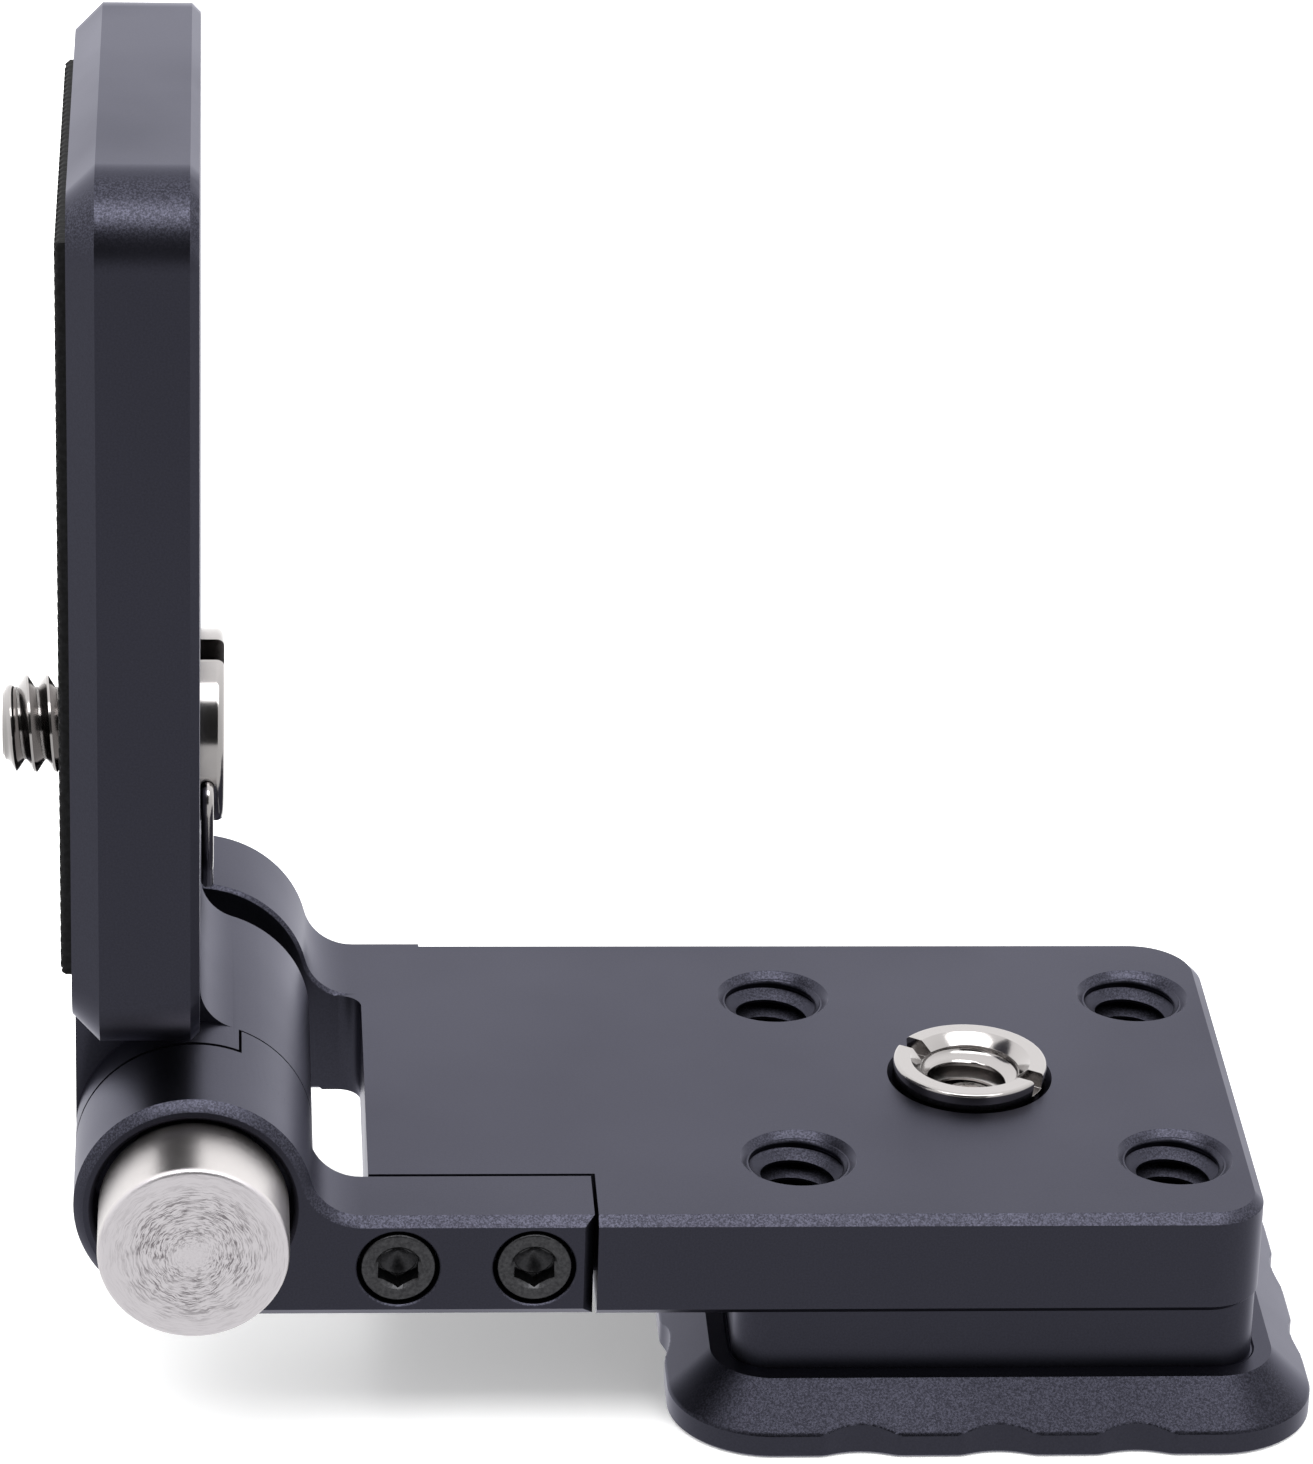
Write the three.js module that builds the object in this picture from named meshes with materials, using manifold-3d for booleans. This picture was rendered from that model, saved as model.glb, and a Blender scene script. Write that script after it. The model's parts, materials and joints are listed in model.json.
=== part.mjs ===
// Folding L bracket for a camera: an upright camera plate on a push-button locking hinge, a horizontal
// base plate with threaded holes, and a square dovetail quick-release foot under the base plate.
//
// Working frame of the drawing, in millimetres: X = 0 and Z = HINGE_Z is the hinge axis, which runs
// along Y; +X points along the base plate, +Z up the camera plate, and Z = 0 is the base plate's underside.
// The exported group is moved so that its origin is the middle of the bounding box's bottom face.

import * as THREE from 'three';
import { mergeVertices } from 'three/addons/utils/BufferGeometryUtils.js';
import Module from 'manifold-3d';

const wasm = await Module();
wasm.setup();

// ---------------------------------------------------------------- driving dimensions

const WIDTH = 38;                 // both plates, along Y
const BASE_THICKNESS = 7;
const BASE_END_X = 67.3;          // free end of the base plate
const SLOT_X = 10.9;              // edge of the hinge slot in the base plate
const PLATE_THICKNESS = 7.8;      // camera plate
const PLATE_TOP_Z = 74.65;
const PLATE_BOTTOM_Z = 17.6;
const BARREL_R = 7.45;
const HINGE_Z = 7.75;
const GAP = 0.3;                  // between pieces that touch on the real object
const RUNNING = 0.05;             // radial running clearance of turning and sliding pieces

const HALF = WIDTH / 2;
const PLATE_OUTER_X = -BARREL_R;
const PLATE_INNER_X = PLATE_OUTER_X + PLATE_THICKNESS;

// hinge, from the near face (-Y) to the far face (+Y)
const ARM_WEB_THICKNESS = 5.7;
const NEAR_SEAM_Y = -8.3;         // near knuckle ends here
const CENTRE_Y = [-8, 7.6];       // centre knuckle
const FAR_KNUCKLE_Y = 11.2;       // far knuckle starts here
const FILLET_R = 3.3;             // knuckles into the base plate
const PLATE_FILLET_R = 3;         // camera plate into the centre knuckle
const TOOTH_INNER_R = 6.3;
const TOOTH_REACH = 2.9;          // stop tooth, past the centre knuckle's near end
const TOOTH_ANGLES = [22, -90];   // degrees from the top of the barrel, towards +X
const FOLD_ANGLE = 90;
const STOP_PLAY = 1.5;            // degrees

// push button, star-shaped lock and spring
const BUTTON_R = 5.9;
const BUTTON_PROUD = 5.6;
const BUTTON_BORE_R = 6.2;
const BUTTON_TRAVEL = 4;
const BUTTON_SHOULDER_Y = -14.2;
const TAIL_R = 4.3;
const STAR_R = 5.2;
const STAR_LOBES = 8;
const STAR_LOBE_DEPTH = 0.7;
const STAR_Y = [-11, -4];
const STAR_BORE_END_Y = 0.4;
const POCKET_R = 5.5;
const PIN_R = 3.95;
const PIN_Y = [1, 15.2];
const PIN_POCKET_END_Y = 9.5;
const SPRING_MEAN_R = 2.35;
const SPRING_WIRE_R = 0.35;
const SPRING_TURNS = 7;
const PLUG_R = 5.4;
const PLUG_Y = [15.8, 18.8];

// base plate holes and foot
const FOOT_X = 50.2;              // centre of the hole pattern, the bushing and the foot screw
const FOOT_SHIFT = 0.55;          // how far the foot's square lies beyond its screw
const HOLE_PATTERN = [24, 22.2];  // spacing of the 1/4-20 holes along X and Y
const QUARTER_MAJOR_R = 3.175;    // 1/4 inch
const QUARTER_MINOR_R = 2.6;
const HOLE_CHAMFER_R = 3.7;
const BUSHING_R = 4.7;            // 3/8 inch thread
const BUSHING_FLANGE_R = 5;
const BUSHING_TOP_Z = 8.15;
const RIM_HALF = 20.65;           // quick-release foot, half of its square
const FOOT_BOTTOM_Z = -9.4;
const PEDESTAL_HALF = 16.65;
const PEDESTAL_DEPTH = 5.1;
const SKIRT_DEPTH = 7.75;
const SCALLOP_R = 5.1;
const SCALLOP_DEPTH = 0.5;
const SCALLOP_PITCH = 8.75;

// screws
const ARM_SCREW_X = [12.7, 21.2];
const ARM_SCREW_Z = 3.5;
const NOTCH_GAP = [0.25, 0.15];    // past the bolted arm's end, and behind the arm
const CAMERA_SCREW_Z = 32.1;
const CAMERA_SCREW_TIP_X = -12;
const CAMERA_HEAD_R = 6.1;
const CAMERA_HEAD_PROUD = 1.5;
const D_RING_WIRE_R = 0.4;
const D_RING_X = PLATE_INNER_X + 0.45;
const CAMERA_SCREW_TURN = 15;     // degrees that the screw and its ring stand turned

const ROUND = 32;                 // sides of a full turn on barrels and bores
const SMALL_ROUND = 16;           // sides of a full turn on small screws and holes

const CURVE_SEGMENTS = 6;          // steps along each arc of an extruded outline

// ---------------------------------------------------------------- materials

const finish = (color, roughness, metalness) => new THREE.MeshStandardMaterial({ color, roughness, metalness });
const ANODISED = finish(0x303036, 0.5, 0.8);
const RUBBER = finish(0x161617, 0.9, 0);
const NICKEL = finish(0xbfb9b2, 0.2, 1);
const STEEL = finish(0xc8c4c4, 0.3, 1);
const BLACK_OXIDE = finish(0x3a3a3b, 0.45, 0.9);
const SPRING_STEEL = finish(0x8f9092, 0.35, 1);

// ---------------------------------------------------------------- solids

/** A manifold solid from a closed three.js geometry. */
function solid(geometry) {
  const bare = geometry.clone();
  bare.deleteAttribute('normal');
  bare.deleteAttribute('uv');
  const merged = mergeVertices(bare, 1e-4);
  return new wasm.Manifold(new wasm.Mesh({
    numProp: 3,
    vertProperties: new Float32Array(merged.attributes.position.array),
    triVerts: new Uint32Array(merged.index.array),
  }));
}

/** A three.js geometry from a manifold solid. */
function geometryOf(body) {
  const mesh = body.getMesh();
  const geometry = new THREE.BufferGeometry();
  geometry.setAttribute('position', new THREE.BufferAttribute(mesh.vertProperties, 3));
  geometry.setIndex(new THREE.BufferAttribute(mesh.triVerts, 1));
  return geometry;
}

/** The first solid with every cutter taken away. */
const cut = (body, ...cutters) => cutters.reduce((left, cutter) => left.subtract(cutter), body);

/** All the solids joined into one. */
const join = (...bodies) => bodies.reduce((all, body) => all.add(body));

/** An outline in X and Z, extruded along Y from y0 to y1, with a 45 degree chamfer on both end edges. */
function alongY(shape, y0, y1, chamfer = 0) {
  const geometry = extruded(shape, y1 - y0, chamfer);
  geometry.rotateX(Math.PI / 2);
  geometry.translate(0, y1, 0);
  return solid(geometry);
}

/** An outline in Y and Z, extruded along X from x0 to x1. */
function alongX(shape, x0, x1, chamfer = 0) {
  const geometry = extruded(shape, x1 - x0, chamfer);
  geometry.rotateX(Math.PI / 2);
  geometry.rotateZ(Math.PI / 2);
  geometry.translate(x0, 0, 0);
  return solid(geometry);
}

/** An outline in X and Y, extruded up from z0 to z1. */
function upwards(shape, z0, z1, chamfer = 0) {
  const geometry = extruded(shape, z1 - z0, chamfer);
  geometry.translate(0, 0, z0);
  return solid(geometry);
}

/** ExtrudeGeometry of a given total depth, with the chamfer kept inside the outline. */
function extruded(shape, depth, chamfer) {
  const geometry = new THREE.ExtrudeGeometry(shape, {
    depth: depth - 2 * chamfer,
    curveSegments: CURVE_SEGMENTS,
    bevelEnabled: chamfer > 0,
    bevelThickness: chamfer,
    bevelSize: chamfer,
    bevelOffset: -chamfer,
    bevelSegments: 1,
  });
  geometry.translate(0, 0, chamfer);
  return geometry;
}

/** A turned solid on the Z axis from [radius, height] pairs, which run up the outside. */
function turned(profile, sides = ROUND) {
  const points = [[0, profile[0][1]], ...profile, [0, profile.at(-1)[1]]];
  return new THREE.LatheGeometry(points.map(([r, z]) => new THREE.Vector2(r, z)), sides).rotateX(Math.PI / 2);
}

/** A turned solid whose axis is the hinge axis, from [radius, y] pairs in rising y. */
function onHinge(profile, sides = ROUND) {
  const geometry = turned(profile, sides);
  geometry.rotateX(-Math.PI / 2);
  geometry.translate(0, 0, HINGE_Z);
  return solid(geometry);
}

/** A turned solid that stands on (x, y), from [radius, z] pairs in rising z. */
function standing(x, y, profile, sides = SMALL_ROUND) {
  return solid(turned(profile, sides).translate(x, y, 0));
}

/** A turned solid along X at (0, z), from [radius, x] pairs in rising x. */
function alongXAt(z, profile, sides = SMALL_ROUND) {
  return solid(turned(profile, sides).rotateY(Math.PI / 2).translate(0, 0, z));
}

/** A turned solid along Y at (x, z), from [radius, y] pairs in rising y. */
function alongYAt(x, z, profile, sides = SMALL_ROUND) {
  return solid(turned(profile, sides).rotateX(-Math.PI / 2).translate(x, 0, z));
}

/** A box between two corners. */
function block([x0, y0, z0], [x1, y1, z1]) {
  const geometry = new THREE.BoxGeometry(x1 - x0, y1 - y0, z1 - z0);
  geometry.translate((x0 + x1) / 2, (y0 + y1) / 2, (z0 + z1) / 2);
  return solid(geometry);
}

/** A rectangle outline with one radius for each corner, from the lower left one, anticlockwise. */
function roundedRectangle([x0, y0], [x1, y1], radii) {
  const [a, b, c, d] = radii;
  const shape = new THREE.Shape();
  shape.moveTo(x0 + a, y0);
  shape.lineTo(x1 - b, y0);
  if (b) shape.absarc(x1 - b, y0 + b, b, -Math.PI / 2, 0);
  shape.lineTo(x1, y1 - c);
  if (c) shape.absarc(x1 - c, y1 - c, c, 0, Math.PI / 2);
  shape.lineTo(x0 + d, y1);
  if (d) shape.absarc(x0 + d, y1 - d, d, Math.PI / 2, Math.PI);
  shape.lineTo(x0, y0 + a);
  if (a) shape.absarc(x0 + a, y0 + a, a, Math.PI, 1.5 * Math.PI);
  return shape;
}

/** A regular hexagon outline, given its width across flats. */
function hexagon(flats, x, y) {
  const shape = new THREE.Shape();
  const corner = flats / Math.sqrt(3);
  for (let i = 0; i < 6; i += 1) {
    const angle = (i + 0.5) * Math.PI / 3;
    const point = [x + corner * Math.cos(angle), y + corner * Math.sin(angle)];
    if (i === 0) shape.moveTo(...point);
    else shape.lineTo(...point);
  }
  return shape;
}

/** A sector of a ring round the hinge axis, between two angles counted from the top towards +X. */
function ringSector(inner, outer, fromDegrees, toDegrees, y0, y1) {
  const high = Math.PI / 2 - THREE.MathUtils.degToRad(toDegrees);
  const low = Math.PI / 2 - THREE.MathUtils.degToRad(fromDegrees);
  const steps = Math.ceil(Math.abs(high - low) / (2 * Math.PI) * ROUND);
  const arc = (r, from, to) => Array.from({ length: steps + 1 }, (_, i) => {
    const angle = from + (to - from) * i / steps;
    return new THREE.Vector2(r * Math.cos(angle), HINGE_Z + r * Math.sin(angle));
  });
  return alongY(new THREE.Shape([...arc(outer, low, high), ...arc(inner, high, low)]), y0, y1);
}

// ---------------------------------------------------------------- hinge outlines

/** Where a fillet outside the barrel meets it, for a fillet centred at (x, z): the angle at the barrel. */
const angleTo = (x, z) => Math.atan2(z - HINGE_Z, x);

/** A base knuckle seen along the hinge: the barrel, its fillet and a flat bar that ends at x. */
function baseKnuckleOutline(endX) {
  const centreZ = BASE_THICKNESS + FILLET_R;
  const reach = BARREL_R + FILLET_R;
  const centreX = Math.sqrt(reach ** 2 - (centreZ - HINGE_Z) ** 2);
  const meet = angleTo(centreX, centreZ);
  const shape = new THREE.Shape();
  shape.moveTo(endX, 0);
  shape.lineTo(endX, BASE_THICKNESS);
  shape.lineTo(centreX, BASE_THICKNESS);
  shape.absarc(centreX, centreZ, FILLET_R, -Math.PI / 2, meet - Math.PI, true);
  shape.absarc(0, HINGE_Z, BARREL_R, meet, 1.5 * Math.PI, false);
  shape.lineTo(BARREL_R / 3, 0);
  return shape;
}

/** The camera plate's knuckle seen along the hinge: the barrel, its fillet and the web up to z. */
function plateKnuckleOutline(topZ) {
  const centreX = PLATE_INNER_X + PLATE_FILLET_R;
  const reach = BARREL_R + PLATE_FILLET_R;
  const centreZ = HINGE_Z + Math.sqrt(reach ** 2 - centreX ** 2);
  const meet = angleTo(centreX, centreZ);
  const shape = new THREE.Shape();
  shape.moveTo(PLATE_OUTER_X, topZ);
  shape.absarc(0, HINGE_Z, BARREL_R, Math.PI, 2 * Math.PI + meet, false);
  shape.absarc(centreX, centreZ, PLATE_FILLET_R, meet + Math.PI, Math.PI, true);
  shape.lineTo(PLATE_INNER_X, topZ);
  return shape;
}

/** The star lock's outline round the hinge axis, grown by a clearance. */
function starOutline(grow) {
  const points = [];
  const steps = STAR_LOBES * 6;
  for (let i = 0; i < steps; i += 1) {
    const angle = i / steps * 2 * Math.PI;
    const r = STAR_R + grow - STAR_LOBE_DEPTH * (0.5 - 0.5 * Math.cos(STAR_LOBES * angle));
    points.push(new THREE.Vector2(r * Math.cos(angle), HINGE_Z + r * Math.sin(angle)));
  }
  return new THREE.Shape(points);
}

// ---------------------------------------------------------------- base sub-assembly

const CHAMFER = 0.55;
const KNUCKLE_CHAMFER = 0.3;
const notchX = ARM_SCREW_X[1] + 3.7 + NOTCH_GAP[0];
const armInnerY = -HALF + ARM_WEB_THICKNESS;

/** A threaded 1/4-20 hole at minor diameter, chamfered at both mouths. */
function quarterHole(x, y) {
  const flare = HOLE_CHAMFER_R - QUARTER_MINOR_R;
  return standing(x, y, [
    [HOLE_CHAMFER_R + 1, -1],
    [QUARTER_MINOR_R, flare],
    [QUARTER_MINOR_R, BASE_THICKNESS - flare],
    [HOLE_CHAMFER_R + 1, BASE_THICKNESS + 1],
  ]);
}

function basePlate() {
  const outline = roundedRectangle([SLOT_X - 2, -HALF], [BASE_END_X, HALF], [0, 3.5, 4.5, 0]);
  const plate = upwards(outline, 0, BASE_THICKNESS, CHAMFER);
  const knuckle = alongY(baseKnuckleOutline(SLOT_X + 3), FAR_KNUCKLE_Y, HALF, KNUCKLE_CHAMFER);
  const slotOutline = roundedRectangle([SLOT_X - 8, -HALF - 1], [SLOT_X, FAR_KNUCKLE_Y], [0, 0, 1.5, 0]);
  const slot = upwards(slotOutline, -1, BASE_THICKNESS + 1);
  const notch = block([SLOT_X - 1, -HALF - 1, -1], [notchX, armInnerY + NOTCH_GAP[1], BASE_THICKNESS + 1]);
  const holes = [];
  for (const sx of [-0.5, 0.5]) {
    for (const sy of [-0.5, 0.5]) {
      holes.push(quarterHole(FOOT_X + sx * HOLE_PATTERN[0], sy * HOLE_PATTERN[1]));
    }
  }
  const bushingHole = standing(FOOT_X, 0, [
    [BUSHING_R + GAP, -1],
    [BUSHING_R + GAP, BASE_THICKNESS - 0.4],
    [BUSHING_FLANGE_R + 0.35, BASE_THICKNESS],
    [BUSHING_FLANGE_R + 0.35, BASE_THICKNESS + 1],
  ], ROUND);
  const screwHoles = ARM_SCREW_X.map((x) => alongYAt(x, ARM_SCREW_Z, [[1.5 + GAP, -14], [1.5 + GAP, -6]]));
  const dowelHoles = [-1, 1].map((side) => standing(FOOT_X + side * 6.5, 0, [[1 + GAP, -1], [1 + GAP, 3.2]]));
  const pinBore = onHinge([[PIN_R + GAP, FAR_KNUCKLE_Y - 1], [PIN_R + GAP, PLUG_Y[0]]]);
  const plugBore = onHinge([[PLUG_R + GAP, PLUG_Y[0] - GAP], [PLUG_R + GAP, HALF + 1]]);
  return cut(join(cut(plate, slot), knuckle), notch, ...holes, bushingHole, ...screwHoles, ...dowelHoles, pinBore, plugBore);
}

function frontArm() {
  const endX = ARM_SCREW_X[1] + 3.7;
  const web = alongY(baseKnuckleOutline(endX), -HALF, armInnerY, CHAMFER);
  const barrel = onHinge([
    [BARREL_R - CHAMFER, -HALF],
    [BARREL_R, -HALF + CHAMFER],
    [BARREL_R, NEAR_SEAM_Y],
  ]);
  const recess = ringSector(
    TOOTH_INNER_R - GAP,
    BARREL_R + 1,
    TOOTH_ANGLES[1] - FOLD_ANGLE - STOP_PLAY,
    TOOTH_ANGLES[0] + STOP_PLAY,
    CENTRE_Y[0] - TOOTH_REACH - GAP,
    NEAR_SEAM_Y + 1,
  );
  const bore = onHinge([
    [BUTTON_BORE_R, -HALF - 1],
    [BUTTON_BORE_R, BUTTON_SHOULDER_Y],
    [TAIL_R + RUNNING, BUTTON_SHOULDER_Y],
    [TAIL_R + RUNNING, STAR_Y[0] - GAP],
    [POCKET_R, STAR_Y[0] - GAP],
    [POCKET_R, NEAR_SEAM_Y + 1],
  ]);
  const screws = ARM_SCREW_X.map((x) => alongYAt(x, ARM_SCREW_Z, [
    [2.6, -HALF - 1],
    [2.6, -HALF + 3.3],
    [1.7, -HALF + 3.3],
    [1.7, armInnerY + 1],
  ]));
  return cut(join(web, barrel), recess, bore, ...screws);
}

/** A socket cap screw along Y in the front arm. */
function armScrew(x) {
  const head = alongYAt(x, ARM_SCREW_Z, [
    [2.1, -HALF + 0.1],
    [2.35, -HALF + 0.3],
    [2.35, -HALF + 3],
    [1.45, -HALF + 3],
    [1.45, armInnerY + 5.5],
  ]);
  return cut(head, alongY(hexagon(2.5, x, ARM_SCREW_Z), -HALF - 1, -HALF + 1.8));
}

/** The 3/8 to 1/4 inch reducing bushing, with its coin slot turned to one side. */
function reducingBushing() {
  const body = standing(0, 0, [
    [BUSHING_R, 0.4],
    [BUSHING_R, BASE_THICKNESS - 0.1],
    [BUSHING_FLANGE_R, BASE_THICKNESS + 0.2],
    [BUSHING_FLANGE_R, BUSHING_TOP_Z - 0.4],
    [BUSHING_FLANGE_R - 0.4, BUSHING_TOP_Z],
  ], ROUND);
  const bore = standing(0, 0, [
    [QUARTER_MAJOR_R + GAP, -1],
    [QUARTER_MAJOR_R + GAP, BUSHING_TOP_Z - 0.6],
    [QUARTER_MAJOR_R + 1.4, BUSHING_TOP_Z + 0.5],
  ]);
  const slot = block([-6, -0.65, BUSHING_TOP_Z - 1.1], [6, 0.65, BUSHING_TOP_Z + 1]);
  return cut(body, bore, slot.rotate([0, 0, -32])).translate([FOOT_X, 0, 0]);
}

/** The square foot: pedestal, 45 degree skirt, and a rim with scallops in each side. */
function footPlate() {
  const square = (half, radius) => roundedRectangle([-half, -half], [half, half], Array(4).fill(radius));
  const skirtTop = -PEDESTAL_DEPTH;
  const pedestal = upwards(square(PEDESTAL_HALF, 3), skirtTop - 1, -GAP);
  const rim = upwards(square(RIM_HALF, 6.5), FOOT_BOTTOM_Z, -SKIRT_DEPTH);
  const skirtRun = SKIRT_DEPTH - PEDESTAL_DEPTH;
  const skirt = upwards(square(RIM_HALF, 6.5), -SKIRT_DEPTH - skirtRun, skirtTop, skirtRun);
  const skirtHalf = cut(skirt, block([-30, -30, -30], [30, 30, -SKIRT_DEPTH - 0.1]));
  const scallops = [];
  for (const along of [-SCALLOP_PITCH, 0, SCALLOP_PITCH]) {
    for (const [x, y] of [[along, RIM_HALF], [along, -RIM_HALF], [RIM_HALF, along], [-RIM_HALF, along]]) {
      const out = 1 + (SCALLOP_R - SCALLOP_DEPTH) / RIM_HALF;
      const centre = Math.abs(x) === RIM_HALF ? [x * out, y] : [x, y * out];
      scallops.push(standing(...centre, [[SCALLOP_R, FOOT_BOTTOM_Z - 1], [SCALLOP_R, -SKIRT_DEPTH + 1.2]]));
    }
  }
  const screwHole = standing(0, 0, [
    [7.3, FOOT_BOTTOM_Z - 1],
    [7.3, FOOT_BOTTOM_Z + 4],
    [3.6, FOOT_BOTTOM_Z + 4],
    [3.6, 1],
  ], ROUND);
  const dowels = [-1, 1].map((side) => standing(side * 6.5, 0, [[1 + GAP, -4], [1 + GAP, 1]]));
  const outer = cut(join(pedestal, skirtHalf, rim), ...scallops).translate([FOOT_SHIFT, 0, 0]);
  const foot = cut(outer, screwHole, ...dowels);
  return foot.translate([FOOT_X, 0, 0]);
}

/** The screw that holds the foot: a flat head with a coin slot and a folding wire ring's two holes. */
function footScrew() {
  const screw = standing(FOOT_X, 0, [
    [6.4, FOOT_BOTTOM_Z + 0.4],
    [6.8, FOOT_BOTTOM_Z + 0.8],
    [6.8, FOOT_BOTTOM_Z + 3.1],
    [QUARTER_MAJOR_R - 0.1, FOOT_BOTTOM_Z + 3.1],
    [QUARTER_MAJOR_R - 0.1, 5.2],
    [QUARTER_MINOR_R, 5.8],
  ], ROUND);
  const slot = block([FOOT_X - 8, -0.9, FOOT_BOTTOM_Z - 1], [FOOT_X + 8, 0.9, FOOT_BOTTOM_Z + 1.6]);
  return cut(screw, slot);
}

/** The thin washer between the foot screw's head and the foot. */
function footWasher() {
  const z = FOOT_BOTTOM_Z + 3.4;
  const disc = standing(FOOT_X, 0, [[6.3, z], [6.3, z + 0.3]], ROUND);
  return cut(disc, standing(FOOT_X, 0, [[3.5, z - 1], [3.5, z + 1]]));
}

const dowelPin = (side) => standing(FOOT_X + side * 6.5, 0, [[1, -3.7], [1, 2.9]]);

// ---------------------------------------------------------------- hinge pieces

/** The far pivot pin, a cup that also holds the end of the spring. */
function pivotPin() {
  const outside = onHinge([[PIN_R - 0.3, PIN_Y[0]], [PIN_R, PIN_Y[0] + 0.3], [PIN_R, PIN_Y[1]]]);
  return cut(outside, onHinge([[3, PIN_Y[0] - 1], [3, PIN_POCKET_END_Y]]));
}

function washer(y0, y1, outer) {
  return cut(onHinge([[outer, y0], [outer, y1]]), onHinge([[PIN_R + RUNNING + GAP, y0 - 1], [PIN_R + RUNNING + GAP, y1 + 1]]));
}

/** The threaded plug that closes the far knuckle, with a hexagon socket. */
function hingePlug() {
  const body = onHinge([[PLUG_R, PLUG_Y[0]], [PLUG_R, PLUG_Y[1] - 0.4], [PLUG_R - 0.4, PLUG_Y[1]]]);
  return cut(body, alongY(hexagon(4, 0, HINGE_Z), PLUG_Y[1] - 1.8, PLUG_Y[1] + 1));
}

/** The push button: the turned cap outside and the tail that slides in the front arm. */
function releaseButton() {
  const top = -HALF - BUTTON_PROUD;
  const shoulder = BUTTON_SHOULDER_Y - BUTTON_TRAVEL - 0.4;
  const body = onHinge([
    [BUTTON_R - 0.4, top],
    [BUTTON_R - 0.12, top + 0.12],
    [BUTTON_R, top + 0.4],
    [BUTTON_R, shoulder],
    [TAIL_R, shoulder],
    [TAIL_R, STAR_Y[0] - GAP],
  ]);
  return cut(body, onHinge([[1.8, -18.3], [1.8, STAR_Y[0] + 1]]));
}

function lockStar() {
  const body = alongY(starOutline(0), ...STAR_Y);
  const bore = onHinge([[1.8, STAR_Y[0] - 1], [1.8, STAR_Y[1] - 2.7], [3.1, STAR_Y[1] - 2.7], [3.1, STAR_Y[1] + 1]]);
  return cut(body, bore);
}

/** The screw that clamps the star to the button's tail. */
function starScrew() {
  const headBottom = STAR_Y[1] - 2.4;
  const body = onHinge([[1.5, -18], [1.5, headBottom], [2.75, headBottom], [2.75, STAR_Y[1] - GAP]], SMALL_ROUND);
  return cut(body, alongY(hexagon(2.5, 0, HINGE_Z), STAR_Y[1] - 1.8, STAR_Y[1] + 1));
}

/** The compression spring between the lock and the pivot pin. */
class SpringCurve extends THREE.Curve {
  getPoint(t, target = new THREE.Vector3()) {
    const start = STAR_Y[1] + SPRING_WIRE_R;
    const end = PIN_POCKET_END_Y - SPRING_WIRE_R - GAP;
    const angle = t * SPRING_TURNS * 2 * Math.PI;
    const x = SPRING_MEAN_R * Math.cos(angle);
    const z = HINGE_Z + SPRING_MEAN_R * Math.sin(angle);
    return target.set(x, start + (end - start) * t, z);
  }
}

function returnSpring() {
  const section = new THREE.Shape(Array.from({ length: 6 }, (_, i) => {
    const angle = i * Math.PI / 3;
    return new THREE.Vector2(SPRING_WIRE_R * Math.cos(angle), SPRING_WIRE_R * Math.sin(angle));
  }));
  const options = { steps: SPRING_TURNS * 10, bevelEnabled: false, extrudePath: new SpringCurve() };
  return solid(new THREE.ExtrudeGeometry(section, options));
}

// ---------------------------------------------------------------- camera plate sub-assembly

const PAD_HALF = 16;
const PAD_Z = [22.6, 70.45];
const PAD_PROUD = 0.72;
const PAD_SINK = 0.9;

function cameraPlate() {
  const outline = roundedRectangle([-HALF, PLATE_BOTTOM_Z], [HALF, PLATE_TOP_Z], [5, 5, 5, 5]);
  const plate = alongX(outline, PLATE_OUTER_X, PLATE_INNER_X, CHAMFER);
  const envelope = alongX(outline, PLATE_OUTER_X, PLATE_OUTER_X + 2 * PLATE_THICKNESS, 1.7);
  const knuckle = alongY(plateKnuckleOutline(PLATE_BOTTOM_Z + 3), ...CENTRE_Y);
  const tooth = ringSector(
    TOOTH_INNER_R,
    BARREL_R,
    TOOTH_ANGLES[1],
    TOOTH_ANGLES[0],
    CENTRE_Y[0] - TOOTH_REACH,
    CENTRE_Y[0] + 1,
  );
  const starBore = alongY(starOutline(RUNNING), CENTRE_Y[0] - 1, STAR_BORE_END_Y);
  const pinBore = onHinge([[PIN_R + RUNNING, 0], [PIN_R + RUNNING, CENTRE_Y[1] + 1]]);
  const seat = roundedRectangle([-PAD_HALF - GAP, PAD_Z[0] - GAP], [PAD_HALF + GAP, PAD_Z[1] + GAP], Array(4).fill(2));
  const padSeat = alongX(seat, PLATE_OUTER_X - 1, PLATE_OUTER_X + PAD_SINK + GAP);
  const screwHole = alongXAt(CAMERA_SCREW_Z, [[QUARTER_MAJOR_R + 0.2, PLATE_OUTER_X - 1], [QUARTER_MAJOR_R + 0.2, 4]]);
  const headSeat = alongXAt(CAMERA_SCREW_Z, [[CAMERA_HEAD_R + GAP, PLATE_INNER_X - 1], [CAMERA_HEAD_R + GAP, 4]], ROUND);
  const clipSeat = alongXAt(CAMERA_SCREW_Z, [[4.4, PLATE_OUTER_X], [4.4, PLATE_OUTER_X + PAD_SINK + 1.6]], ROUND);
  const body = join(plate.intersect(envelope), knuckle, tooth);
  return cut(body, starBore, pinBore, padSeat, screwHole, headSeat, clipSeat);
}

function gripPad() {
  const outline = roundedRectangle([-PAD_HALF, PAD_Z[0]], [PAD_HALF, PAD_Z[1]], Array(4).fill(1.8));
  const pad = alongX(outline, PLATE_OUTER_X - PAD_PROUD, PLATE_OUTER_X + PAD_SINK);
  return cut(pad, alongXAt(CAMERA_SCREW_Z, [[4.2, PLATE_OUTER_X - 2], [4.2, PLATE_OUTER_X + 2]], ROUND));
}

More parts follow.
